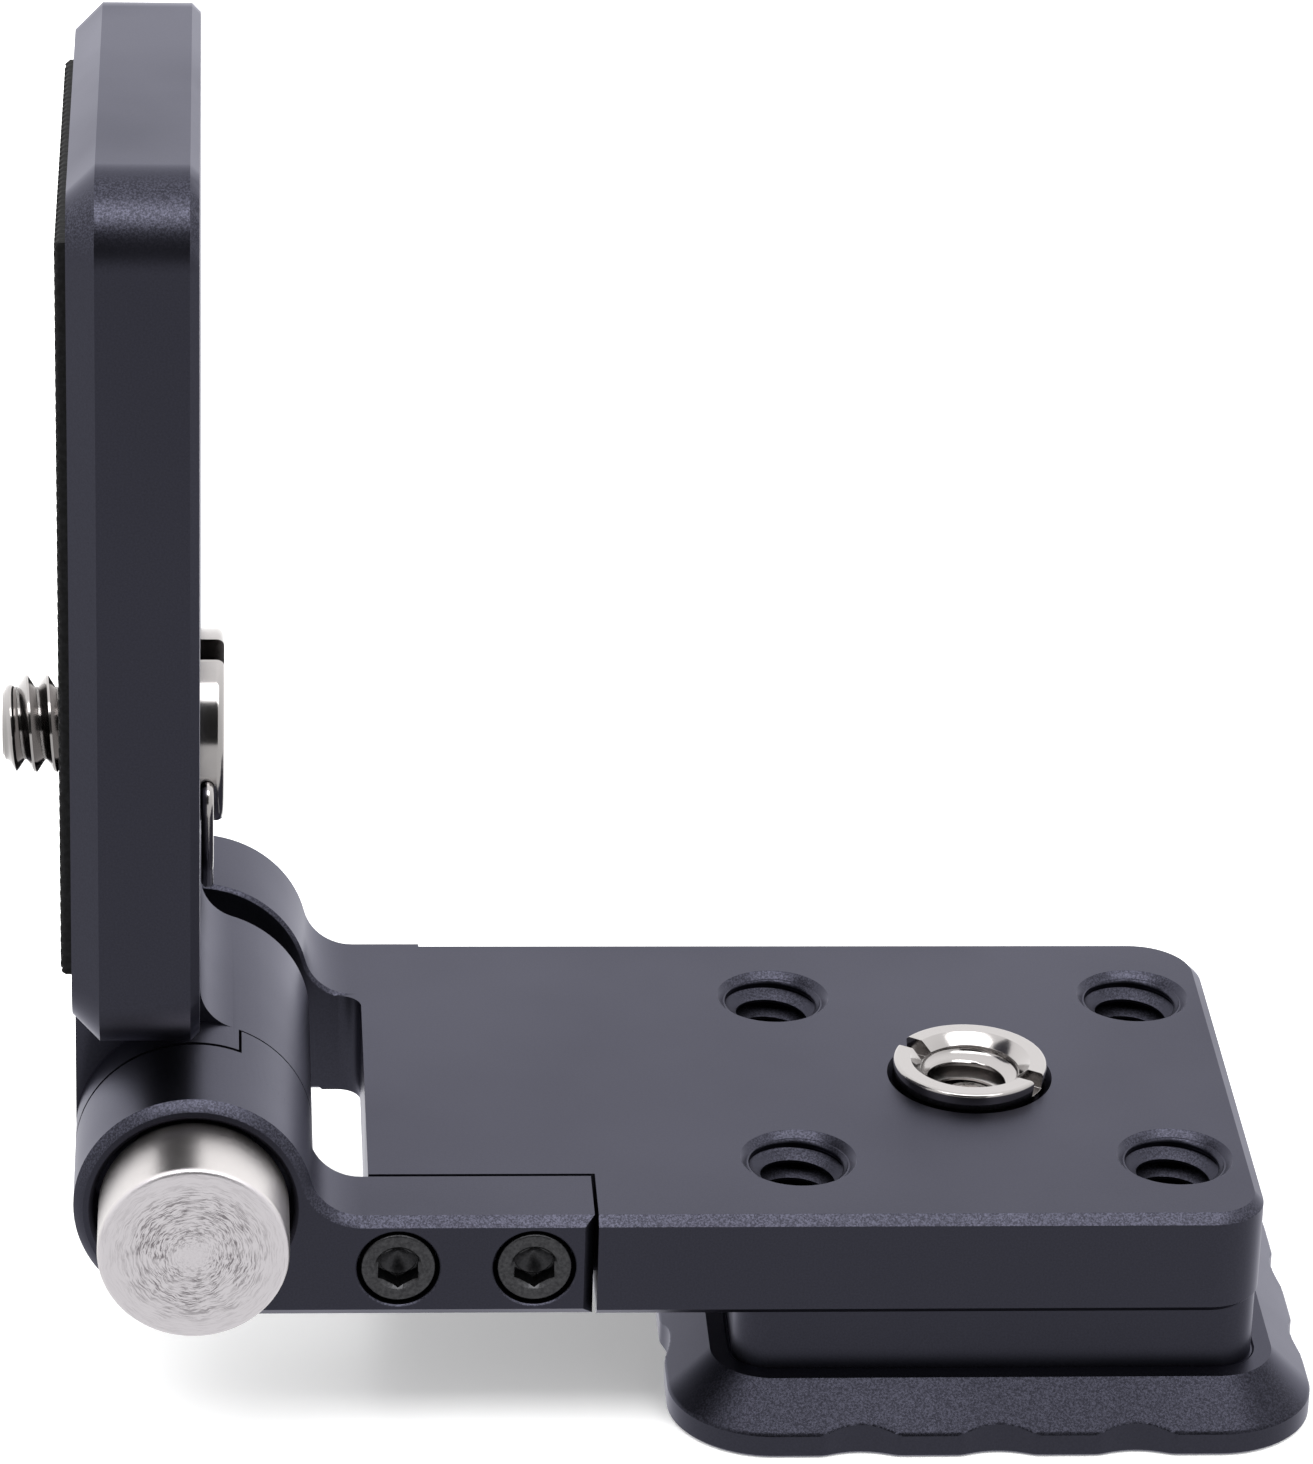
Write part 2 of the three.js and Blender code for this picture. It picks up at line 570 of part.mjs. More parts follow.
/** Turns a piece about the camera screw's axis, to the way the screw stands. */
function onScrew(body) {
  return body.translate([0, 0, -CAMERA_SCREW_Z]).rotate([CAMERA_SCREW_TURN, 0, 0]).translate([0, 0, CAMERA_SCREW_Z]);
}

/** The captive 1/4-20 camera screw, its coin slot and the two ears that hold the D ring. */
function cameraScrew() {
  const tip = CAMERA_SCREW_TIP_X;
  const head = PLATE_INNER_X - 1 + GAP;
  const top = PLATE_INNER_X + CAMERA_HEAD_PROUD;
  const groove = PLATE_OUTER_X + PAD_SINK + GAP;
  const body = alongXAt(CAMERA_SCREW_Z, [
    [QUARTER_MINOR_R - 0.2, tip],
    [QUARTER_MAJOR_R - 0.1, tip + 0.7],
    [QUARTER_MAJOR_R - 0.1, groove],
    [QUARTER_MINOR_R - 0.3, groove],
    [QUARTER_MINOR_R - 0.3, groove + 1.1],
    [QUARTER_MAJOR_R - 0.1, groove + 1.1],
    [QUARTER_MAJOR_R - 0.1, head],
    [CAMERA_HEAD_R, head],
    [CAMERA_HEAD_R, top - 0.4],
    [CAMERA_HEAD_R - 0.4, top],
  ], ROUND);
  const slot = block([top - CAMERA_HEAD_PROUD, -1, CAMERA_SCREW_Z - 8], [top + 1, 1, CAMERA_SCREW_Z + 8]);
  const holes = alongYAt(D_RING_X, CAMERA_SCREW_Z, [[D_RING_WIRE_R + RUNNING, -8], [D_RING_WIRE_R + RUNNING, 8]], 12);
  return onScrew(cut(body, slot, holes));
}

/** The retaining ring in the camera screw's groove, open on one side. */
function screwClip() {
  const x0 = PLATE_OUTER_X + PAD_SINK + GAP + 0.25;
  const ring = cut(
    alongXAt(CAMERA_SCREW_Z, [[4.1, x0], [4.1, x0 + 0.6]], ROUND),
    alongXAt(CAMERA_SCREW_Z, [[QUARTER_MINOR_R, x0 - 1], [QUARTER_MINOR_R, x0 + 2]]),
  );
  return cut(ring, block([x0 - 1, -1.4, CAMERA_SCREW_Z], [x0 + 2, 1.4, CAMERA_SCREW_Z + 6]));
}


/** The folding D ring: from one ear of the screw head, out, down, round and back to the other ear. */
function dRing() {
  const outer = CAMERA_HEAD_R + 1.1;
  const bottom = -CAMERA_HEAD_R - 4.1;
  const corners = [[-CAMERA_HEAD_R + 2, 0], [-outer, 0], [-outer, -5.2], [-outer + 3.4, bottom]];
  const mirrored = corners.map(([y, z]) => [-y, z]).reverse();
  const points = [...corners, ...mirrored].map(([y, z]) => new THREE.Vector3(D_RING_X, y, CAMERA_SCREW_Z + z));
  const section = new THREE.Shape(Array.from({ length: 8 }, (_, i) => {
    const angle = i * Math.PI / 4;
    return new THREE.Vector2(D_RING_WIRE_R * Math.cos(angle), D_RING_WIRE_R * Math.sin(angle));
  }));
  const path = roundedPath(points, 0.9);
  return onScrew(solid(new THREE.ExtrudeGeometry(section, { steps: 40, bevelEnabled: false, extrudePath: path })));
}

/** Straight runs through the points, with each inner corner rounded over a given run. */
function roundedPath(points, run) {
  const path = new THREE.CurvePath();
  let from = points[0];
  for (let i = 1; i < points.length - 1; i += 1) {
    const before = points[i].clone().add(points[i - 1].clone().sub(points[i]).setLength(run));
    const after = points[i].clone().add(points[i + 1].clone().sub(points[i]).setLength(run));
    path.add(new THREE.LineCurve3(from, before));
    path.add(new THREE.QuadraticBezierCurve3(before, points[i], after));
    from = after;
  }
  path.add(new THREE.LineCurve3(from, points.at(-1)));
  return path;
}

// ---------------------------------------------------------------- assembly

const bracket = new THREE.Group();
bracket.name = 'folding_camera_bracket';

/** Adds one named piece to a group. */
function add(group, name, body, material) {
  const mesh = new THREE.Mesh(geometryOf(body), material);
  mesh.name = name;
  group.add(mesh);
}

const base = new THREE.Group();
add(base, 'base_plate', basePlate(), ANODISED);
add(base, 'front_arm', frontArm(), ANODISED);
add(base, 'arm_screw_inner', armScrew(ARM_SCREW_X[0]), BLACK_OXIDE);
add(base, 'arm_screw_outer', armScrew(ARM_SCREW_X[1]), BLACK_OXIDE);
add(base, 'reducing_bushing', reducingBushing(), NICKEL);
add(base, 'foot_plate', footPlate(), ANODISED);
add(base, 'foot_washer', footWasher(), STEEL);
add(base, 'foot_screw', footScrew(), STEEL);
add(base, 'foot_dowel_left', dowelPin(-1), STEEL);
add(base, 'foot_dowel_right', dowelPin(1), STEEL);
add(base, 'pivot_pin', pivotPin(), STEEL);
add(base, 'thrust_washer_inner', washer(7.9, 9.2, 5.3), BLACK_OXIDE);
add(base, 'thrust_washer_outer', washer(9.5, 10.9, 5.3), BLACK_OXIDE);
add(base, 'hinge_plug', hingePlug(), BLACK_OXIDE);

const lock = new THREE.Group();
add(lock, 'release_button', releaseButton(), STEEL);
add(lock, 'lock_star', lockStar(), STEEL);
add(lock, 'star_screw', starScrew(), BLACK_OXIDE);
add(lock, 'return_spring', returnSpring(), SPRING_STEEL);

const upright = new THREE.Group();
add(upright, 'camera_plate', cameraPlate(), ANODISED);
add(upright, 'grip_pad', gripPad(), RUBBER);
add(upright, 'camera_screw', cameraScrew(), NICKEL);
add(upright, 'screw_clip', screwClip(), SPRING_STEEL);
add(upright, 'd_ring', dRing(), NICKEL);

bracket.add(base, lock, upright);
const box = new THREE.Box3(
  new THREE.Vector3(CAMERA_SCREW_TIP_X, -HALF - BUTTON_PROUD, FOOT_BOTTOM_Z),
  new THREE.Vector3(FOOT_X + FOOT_SHIFT + RIM_HALF, RIM_HALF, PLATE_TOP_Z),
);
const middle = box.getCenter(new THREE.Vector3());
bracket.position.set(-middle.x, -middle.y, -FOOT_BOTTOM_Z);

export default bracket;
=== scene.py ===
"""Studio picture of a folding L bracket for a camera.

The bracket is an upright camera plate on a push-button locking hinge, a drilled base plate with a slotted
reducing bushing, and a square dovetail quick-release foot. Every piece is rebuilt here as a fine surface
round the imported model, in the model's own frame.

Drawing frame, in millimetres: X = Z = 0 lies below the hinge axis, on the plane of the base plate's
underside; +X runs along the base plate, +Y along the hinge axis away from the push button, +Z up.
"""

import json
import logging
from collections.abc import Callable, Iterator, Sequence
from contextlib import contextmanager
from dataclasses import dataclass, field
from enum import Enum

import bmesh
import bpy
import numpy as np
from mathutils import Matrix, Vector


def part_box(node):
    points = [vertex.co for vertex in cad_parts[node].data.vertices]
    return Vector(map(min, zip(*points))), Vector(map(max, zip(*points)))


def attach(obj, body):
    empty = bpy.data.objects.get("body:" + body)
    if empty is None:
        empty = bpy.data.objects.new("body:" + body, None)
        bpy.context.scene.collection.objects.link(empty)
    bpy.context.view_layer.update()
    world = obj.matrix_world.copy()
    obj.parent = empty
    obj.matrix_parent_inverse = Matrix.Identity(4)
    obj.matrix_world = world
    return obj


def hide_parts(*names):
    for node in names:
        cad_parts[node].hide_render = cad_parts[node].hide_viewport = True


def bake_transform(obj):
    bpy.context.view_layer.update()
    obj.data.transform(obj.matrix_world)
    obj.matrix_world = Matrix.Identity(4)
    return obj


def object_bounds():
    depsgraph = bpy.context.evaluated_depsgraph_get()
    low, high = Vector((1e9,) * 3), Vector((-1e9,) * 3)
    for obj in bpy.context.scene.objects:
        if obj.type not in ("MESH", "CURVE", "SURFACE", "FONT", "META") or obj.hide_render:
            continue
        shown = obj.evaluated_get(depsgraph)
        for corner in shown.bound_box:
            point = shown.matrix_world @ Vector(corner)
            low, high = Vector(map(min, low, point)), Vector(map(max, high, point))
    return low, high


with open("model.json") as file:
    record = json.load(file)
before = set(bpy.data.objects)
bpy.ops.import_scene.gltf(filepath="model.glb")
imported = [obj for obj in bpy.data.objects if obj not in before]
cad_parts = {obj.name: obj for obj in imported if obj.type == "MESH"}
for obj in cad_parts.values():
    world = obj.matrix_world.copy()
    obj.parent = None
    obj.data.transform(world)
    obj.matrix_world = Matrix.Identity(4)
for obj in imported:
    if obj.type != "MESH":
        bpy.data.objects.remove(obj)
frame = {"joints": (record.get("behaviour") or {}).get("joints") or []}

cad_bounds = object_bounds()
log = logging.getLogger("bracket")

Array = np.ndarray
Pair = tuple[float, float]
Triple = tuple[float, float, float]
Profile = Sequence[Pair]
Surface = tuple[Array, list]       # vertices and faces
Socket = bpy.types.NodeSocket
Material = bpy.types.Material

MM = 0.001
ROUND = 96          # points round a turned piece
CORNER = 16         # points along a rounded corner
EPS = 0.02          # mm, overlap that keeps two shells from sharing a face


class Axis(Enum):
    """Axis that a turned or extruded piece runs along, with the order of its (across, across, along)."""

    X = (1, 2, 0)
    Y = (0, 2, 1)
    Z = (0, 1, 2)


class Slot(Enum):
    """Material slots of the record."""

    ALUMINIUM = "anodised_aluminium"
    RUBBER = "rubber_pad"
    NICKEL = "nickel_plate"
    STAINLESS = "stainless_steel"
    BLACK_OXIDE = "black_oxide_steel"
    SPRING = "spring_steel"


# ------------------------------------------------------------------------------------------ places


@dataclass(frozen=True)
class Layout:
    """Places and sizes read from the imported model, in millimetres.

    Attributes:
        origin: the drawing frame's origin in the model's frame.
        hinge_z: height of the hinge axis over the base plate's underside.
        half_width: half the width of both plates.
    """

    origin: Array
    hinge_z: float
    half_width: float

    @staticmethod
    def read() -> "Layout":
        """Reads the hinge axis from the fold joint and the rest from the nodes' boxes.

        Returns:
            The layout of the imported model.
        """
        fold = next(j for j in frame["joints"] if j["name"] == "fold")
        low, high = (np.array(corner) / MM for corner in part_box("base_plate"))
        axis = np.array(fold["pos_m"]) / MM
        middle_y = (low[1] + high[1]) / 2
        return Layout(
            origin=np.array([axis[0], middle_y, low[2]]),
            hinge_z=float(axis[2] - low[2]),
            half_width=float(high[1] - low[1]) / 2,
        )

    def box(self, node: str) -> tuple[Array, Array]:
        """Lowest and highest corner of a node in the drawing frame."""
        low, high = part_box(node)
        return np.array(low) / MM - self.origin, np.array(high) / MM - self.origin


LAYOUT = Layout.read()
HALF = LAYOUT.half_width
HINGE_Z = LAYOUT.hinge_z


# ------------------------------------------------------------------------------------------ outlines


def arc(centre: Pair, radius: float, start: float, stop: float, count: int = CORNER) -> Array:
    """Points centre + radius (cos a, sin a) for equal steps of a from start to stop, in degrees."""
    angle = np.radians(np.linspace(start, stop, count))
    return np.array(centre) + radius * np.stack([np.cos(angle), np.sin(angle)], axis=1)


def rounded_rectangle(low: Pair, high: Pair, radii: Sequence[float], inset: float = 0.0) -> Array:
    """Rectangle with rounded corners, drawn in by an inset that keeps the corners' centres.

    Args:
        low: lower left corner.
        high: upper right corner.
        radii: corner radii from the lower left one, anticlockwise.
        inset: distance that the outline is drawn in.

    Returns:
        Points, anticlockwise.
    """
    corners = [(low[0], low[1]), (high[0], low[1]), (high[0], high[1]), (low[0], high[1])]
    inward = [(1, 1), (-1, 1), (-1, -1), (1, -1)]
    runs = []
    for index, (corner, side, radius) in enumerate(zip(corners, inward, radii)):
        reach = max(radius, inset)
        centre = (corner[0] + side[0] * reach, corner[1] + side[1] * reach)
        start = 180 + 90 * index
        count = CORNER if radius > inset else 1
        runs.append(arc(centre, max(radius - inset, 0.0), start, start + 90, count))
    return np.concatenate(runs)


def sector(centre: Pair, inner: float, outer: float, angles: Pair, count: int) -> Array:
    """Sector of a ring, with angles from the second axis towards the first."""
    first, last = 90 - angles[1], 90 - angles[0]
    return np.concatenate([arc(centre, outer, first, last, count), arc(centre, inner, last, first, count)])


def polygon(sides: int, flats: float, centre: Pair, turn: float = 30.0) -> Array:
    """Regular polygon of a width across flats: corners at flats / 2 / cos(180 / sides)."""
    corner = flats / 2 / np.cos(np.pi / sides)
    return arc(centre, corner, turn, turn + 360 * (1 - 1 / sides), sides)


def loft(rings: Array) -> Surface:
    """Closed surface through a stack of rings, with a flat face over each end.

    Args:
        rings: points, shaped (rings, points of a ring, 3).

    Returns:
        Vertices and faces.
    """
    rows, columns = rings.shape[:2]
    index = np.arange(rows * columns).reshape(rows, columns)
    after = np.roll(index, -1, axis=1)
    quads = np.stack([index[:-1], after[:-1], after[1:], index[1:]], axis=-1).reshape(-1, 4)
    faces = quads.tolist() + [index[0, ::-1].tolist(), index[-1].tolist()]
    return rings.reshape(-1, 3), faces


def torus(rings: Array) -> Surface:
    """Closed surface through rings that go round and meet: both parameters wrap."""
    rows, columns = rings.shape[:2]
    index = np.arange(rows * columns).reshape(rows, columns)
    after = np.roll(index, -1, axis=1)
    down = np.roll(index, -1, axis=0)
    corner = np.roll(after, -1, axis=0)
    quads = np.stack([index, after, corner, down], axis=-1).reshape(-1, 4)
    return rings.reshape(-1, 3), quads.tolist()


def along(axis: Axis, across: Array, position: Array | float) -> Array:
    """Puts points of a section and their place along an axis into X, Y and Z."""
    points = np.empty(across.shape[:-1] + (3,))
    u, v, w = axis.value
    points[..., u] = across[..., 0]
    points[..., v] = across[..., 1]
    points[..., w] = position
    return points


def extruded(axis: Axis, outline: Callable[[float], Array], levels: Profile) -> Surface:
    """Outline carried along an axis, drawn in by a given inset at each level.

    Args:
        axis: axis to run along; the outline is in the axis's (across, across) order.
        outline: outline for an inset.
        levels: (inset, position) pairs.

    Returns:
        Vertices and faces.
    """
    return loft(np.stack([along(axis, outline(inset), place) for inset, place in levels]))


def prism(axis: Axis, outline: Array, start: float, stop: float) -> Surface:
    """Outline carried straight along an axis."""
    return extruded(axis, lambda inset: outline, [(0, start), (0, stop)])


def revolved(axis: Axis, centre: Pair, places: Array, radii: Array, closed: bool = False) -> Surface:
    """Surface of revolution r(place, angle) about an axis.

    Args:
        axis: axis to turn about.
        centre: where the axis passes, in its (across, across) order.
        places: position of each ring along the axis.
        radii: radius of each ring, shaped (rings, 1).
        closed: whether the last ring joins the first one, as in a tube with a wall.

    Returns:
        Vertices and faces.
    """
    angle = np.linspace(0, 2 * np.pi, ROUND, endpoint=False)
    circle = np.stack([np.cos(angle), np.sin(angle)], axis=1)
    across = np.array(centre) + np.broadcast_to(radii, (len(places), ROUND))[..., None] * circle
    rings = along(axis, across, np.asarray(places, float)[:, None])
    return torus(rings) if closed else loft(rings)


def turned(axis: Axis, centre: Pair, profile: Profile) -> Surface:
    """Solid of revolution from (radius, position) pairs along an axis."""
    table = np.array(profile, float)
    return revolved(axis, centre, table[:, 1], table[:, :1])


def rounded_rim(radius: float, end: float, edge: float, count: int, first: bool = False) -> list[Pair]:
    """Quarter circle of (radius, position) pairs that rounds the rim at one end of a turned piece.

    Args:
        radius: radius of the piece.
        end: position of its end face.
        edge: radius of the rounding.
        count: points along it.
        first: whether the end is the profile's first one, so that the curve leaves it, or its last one.

    Returns:
        The pairs, in the profile's order.
    """
    angle = np.linspace(0, np.pi / 2, count)
    if first:
        return list(zip(radius - edge + edge * np.sin(angle), end + edge * (1 - np.cos(angle))))
    return list(zip(radius - edge + edge * np.cos(angle), end - edge + edge * np.sin(angle)))


def ring(axis: Axis, centre: Pair, inner: float, outer: float, start: float, stop: float,
         edge: float = 0.12) -> Surface:
    """Washer or tube with a wall, both rims with a small chamfer."""
    profile = np.array([
        (inner + edge, start), (outer - edge, start), (outer, start + edge), (outer, stop - edge),
        (outer - edge, stop), (inner + edge, stop), (inner, stop - edge), (inner, start + edge),
    ])
    return revolved(axis, centre, profile[:, 1], profile[:, :1], closed=True)


@dataclass(frozen=True)
class Thread:
    """A 60 degree screw thread.

    Attributes:
        major: outer radius.
        pitch: advance of one turn.
        steps: rings for each turn.
    """

    major: float
    pitch: float
    steps: int = 18

    @property
    def depth(self) -> float:
        """Depth of a unified thread, 0.6134 of its pitch."""
        return 0.6134 * self.pitch

    def surface(self, axis: Axis, centre: Pair, start: float, stop: float, wall: float,
                inner: bool = False) -> Surface:
        """Closed tube with the thread on one side and a plain wall on the other.

        Each row of the grid climbs one pitch a turn, place = row + pitch * angle / 360 held between the ends,
        so that crest and root run along the rows; the radius is a triangle wave of row / pitch, with an
        eighth of the pitch left flat, and comes back to the wall's side over the last turn.

        Args:
            axis: axis of the thread.
            centre: where the axis passes.
            start: lower end.
            stop: upper end.
            wall: radius of the plain side.
            inner: whether the thread is inside the tube, cut into a bore, or outside, on a bar.

        Returns:
            Vertices and faces.
        """
        turn = np.linspace(0, 1, ROUND + 1)
        count = int(np.ceil((stop - start) / self.pitch * self.steps)) + self.steps + 1
        rows = start - self.pitch + np.arange(count) * self.pitch / self.steps
        places = np.clip(rows[:, None] + self.pitch * turn, start, stop)
        wave = np.abs(2 * ((rows / self.pitch) % 1.0) - 1)
        cut = self.depth * np.clip((wave - 0.12) / 0.76, 0, 1)[:, None]
        fade = np.clip(np.minimum(places - start, stop - places) / (0.6 * self.pitch), 0, 1)
        radii = self.major - cut * fade if inner else self.major - self.depth + (self.depth - cut) * fade
        ends = np.ones((1, ROUND + 1))
        places = np.vstack([start * ends, places, stop * ends])
        radii = np.vstack([wall * ends, radii, wall * ends])
        circle = np.stack([np.cos(2 * np.pi * turn), np.sin(2 * np.pi * turn)], axis=-1)
        vertices = along(axis, np.array(centre) + radii[..., None] * circle, places)
        index = np.arange(radii.size).reshape(radii.shape)
        down = np.roll(index, -1, axis=0)
        quads = np.stack([index[:, :-1], index[:, 1:], down[:, 1:], down[:, :-1]], axis=-1).reshape(-1, 4)
        return vertices.reshape(-1, 3), quads.tolist()


QUARTER = Thread(major=3.175, pitch=1.27)              # 1/4-20
THREE_EIGHTHS = Thread(major=4.7625, pitch=1.5875)     # 3/8-16
BODY_THREAD = Thread(major=3.075, pitch=1.27)          # 1/4-20 on a screw, with its allowance
SLIM_THREAD = Thread(major=2.34, pitch=1.27)           # turns clear of the crests of a 1/4-20 bore


def swept(path: Array, radius: float, sides: int = 20) -> Surface:
    """Round bar along a path: circles in the plane of each point's carried normal and binormal."""
    tangent = np.gradient(path, axis=0)
    tangent /= np.linalg.norm(tangent, axis=1, keepdims=True)
    normals = [np.cross(tangent[0], [0.31, 0.52, 0.79])]
    for direction in tangent[1:]:
        carried = normals[-1] - direction * np.dot(normals[-1], direction)
        normals.append(carried)
    normal = np.array(normals)
    normal /= np.linalg.norm(normal, axis=1, keepdims=True)
    binormal = np.cross(tangent, normal)
    angle = np.linspace(0, 2 * np.pi, sides, endpoint=False)[None, :, None]
    rings = path[:, None] + radius * (np.cos(angle) * normal[:, None] + np.sin(angle) * binormal[:, None])
    return loft(rings)


# ------------------------------------------------------------------------------------------ solids


class Solid:
    """One piece of the bracket as a Blender mesh object at the origin."""

    def __init__(self, name: str, surface: Surface) -> None:
        """Makes the mesh from vertices in drawing millimetres and faces, with all faces pointing out."""
        vertices, faces = surface
        mesh = bpy.data.meshes.new(name)
        mesh.from_pydata(((vertices + LAYOUT.origin) * MM).tolist(), [], faces)
        self.object = bpy.data.objects.new(name, mesh)
        bpy.context.scene.collection.objects.link(self.object)
        self._point_outwards()

    @contextmanager
    def _editing(self) -> Iterator[bmesh.types.BMesh]:
        """Opens the mesh for editing and writes it back."""
        work = bmesh.new()
        work.from_mesh(self.object.data)
        yield work
        work.to_mesh(self.object.data)
        work.free()

    def _point_outwards(self) -> None:
        """Turns the faces so that they all point out of the closed surface."""
        with self._editing() as work:
            bmesh.ops.remove_doubles(work, verts=work.verts, dist=0.001 * MM)
            bmesh.ops.recalc_face_normals(work, faces=work.faces)

    def _apply(self, modifier: bpy.types.Modifier) -> None:
        """Applies one modifier to the mesh."""
        with bpy.context.temp_override(object=self.object, active_object=self.object):
            bpy.ops.object.modifier_apply(modifier=modifier.name)

    def _boolean(self, operation: str, others: Sequence["Solid"]) -> "Solid":
        """Runs one exact boolean with each of the other solids, which it uses up."""
        for other in others:
            modifier = self.object.modifiers.new("boolean", "BOOLEAN")
            modifier.operation = operation
            modifier.solver = "EXACT"
            modifier.object = other.object
            self._apply(modifier)
            bpy.data.objects.remove(other.object)
        return self

    def join(self, *others: "Solid") -> "Solid":
        """Unites this solid with others."""
        return self._boolean("UNION", others)

    def cut(self, *others: "Solid") -> "Solid":
        """Cuts others out of this solid."""
        return self._boolean("DIFFERENCE", others)

    def soften(self, width: float = 0.08, segments: int = 2, angle: float = 28.0) -> "Solid":
        """Rounds every edge sharper than an angle over a width in millimetres."""
        self._weld()
        modifier = self.object.modifiers.new("soften", "BEVEL")
        modifier.width = width * MM
        modifier.segments = segments
        modifier.limit_method = "ANGLE"
        modifier.angle_limit = np.radians(angle)
        modifier.miter_outer = "MITER_ARC"
        modifier.use_clamp_overlap = True
        self._apply(modifier)
        return self

    def _weld(self) -> None:
        """Merges the doubled points and dissolves the slivers that a boolean can leave."""
        with self._editing() as work:
            bmesh.ops.remove_doubles(work, verts=work.verts, dist=0.002 * MM)
            bmesh.ops.dissolve_degenerate(work, edges=work.edges, dist=0.001 * MM)

    def add(self, *surfaces: Surface) -> "Solid":
        """Adds closed shells, such as thread liners, to the mesh as they are."""
        with self._editing() as work:
            for number, surface in enumerate(surfaces):
                shell = Solid(f"{self.object.name}_shell_{number}", surface)
                work.from_mesh(shell.object.data)
                bpy.data.objects.remove(shell.object)
        return self

    def dress(self, node: str, body: str, slot: Slot, material: Material, smooth: float = 32.0,
              onto: tuple[str, Array, Array] | None = None) -> bpy.types.Object:
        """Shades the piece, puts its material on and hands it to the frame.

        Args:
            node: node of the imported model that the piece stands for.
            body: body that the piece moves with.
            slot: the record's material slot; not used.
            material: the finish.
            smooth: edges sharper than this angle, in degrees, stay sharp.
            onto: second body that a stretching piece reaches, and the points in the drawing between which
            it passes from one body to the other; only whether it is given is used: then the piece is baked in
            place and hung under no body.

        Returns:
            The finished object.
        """
        mesh = self.object.data
        mesh.shade_smooth()
        mesh.set_sharp_from_angle(angle=np.radians(smooth))
        mesh.materials.clear()
        mesh.materials.append(material)
        weighted = self.object.modifiers.new("weighted", "WEIGHTED_NORMAL")
        weighted.keep_sharp = True
        if onto is None:
            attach(self.object, body)
        else:
            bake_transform(self.object)
        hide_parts(node)
        log.info("%s: %d faces", node, len(mesh.polygons))
        return self.object


def box(low: Sequence[float], high: Sequence[float]) -> Surface:
    """Box between two corners."""
    outline = rounded_rectangle(tuple(low[:2]), tuple(high[:2]), (0, 0, 0, 0))
    return loft(np.stack([along(Axis.Z, outline, low[2]), along(Axis.Z, outline, high[2])]))


def spun(surface: Surface, axis: Axis, centre: Pair, degrees: float) -> Surface:
    """Turns a surface about an axis that passes through a centre, given in its (across, across) order."""
    vertices, faces = surface
    cos, sin = np.cos(np.radians(degrees)), np.sin(np.radians(degrees))
    u, v, w = axis.value
    across = (vertices[:, [u, v]] - centre) @ np.array([[cos, sin], [-sin, cos]]) + centre
    return along(axis, across, vertices[:, w]), faces


# ------------------------------------------------------------------------------------------ materials


def linear(hex_colour: str) -> tuple[float, ...]:
    """Linear RGBA of an sRGB hex colour: c / 12.92 below 0.04045, ((c + 0.055) / 1.055) ** 2.4 above."""
    srgb = np.array([int(hex_colour[i:i + 2], 16) / 255 for i in (1, 3, 5)])
    low = srgb / 12.92
    high = ((srgb + 0.055) / 1.055) ** 2.4
    return (*np.where(srgb <= 0.04045, low, high).tolist(), 1.0)


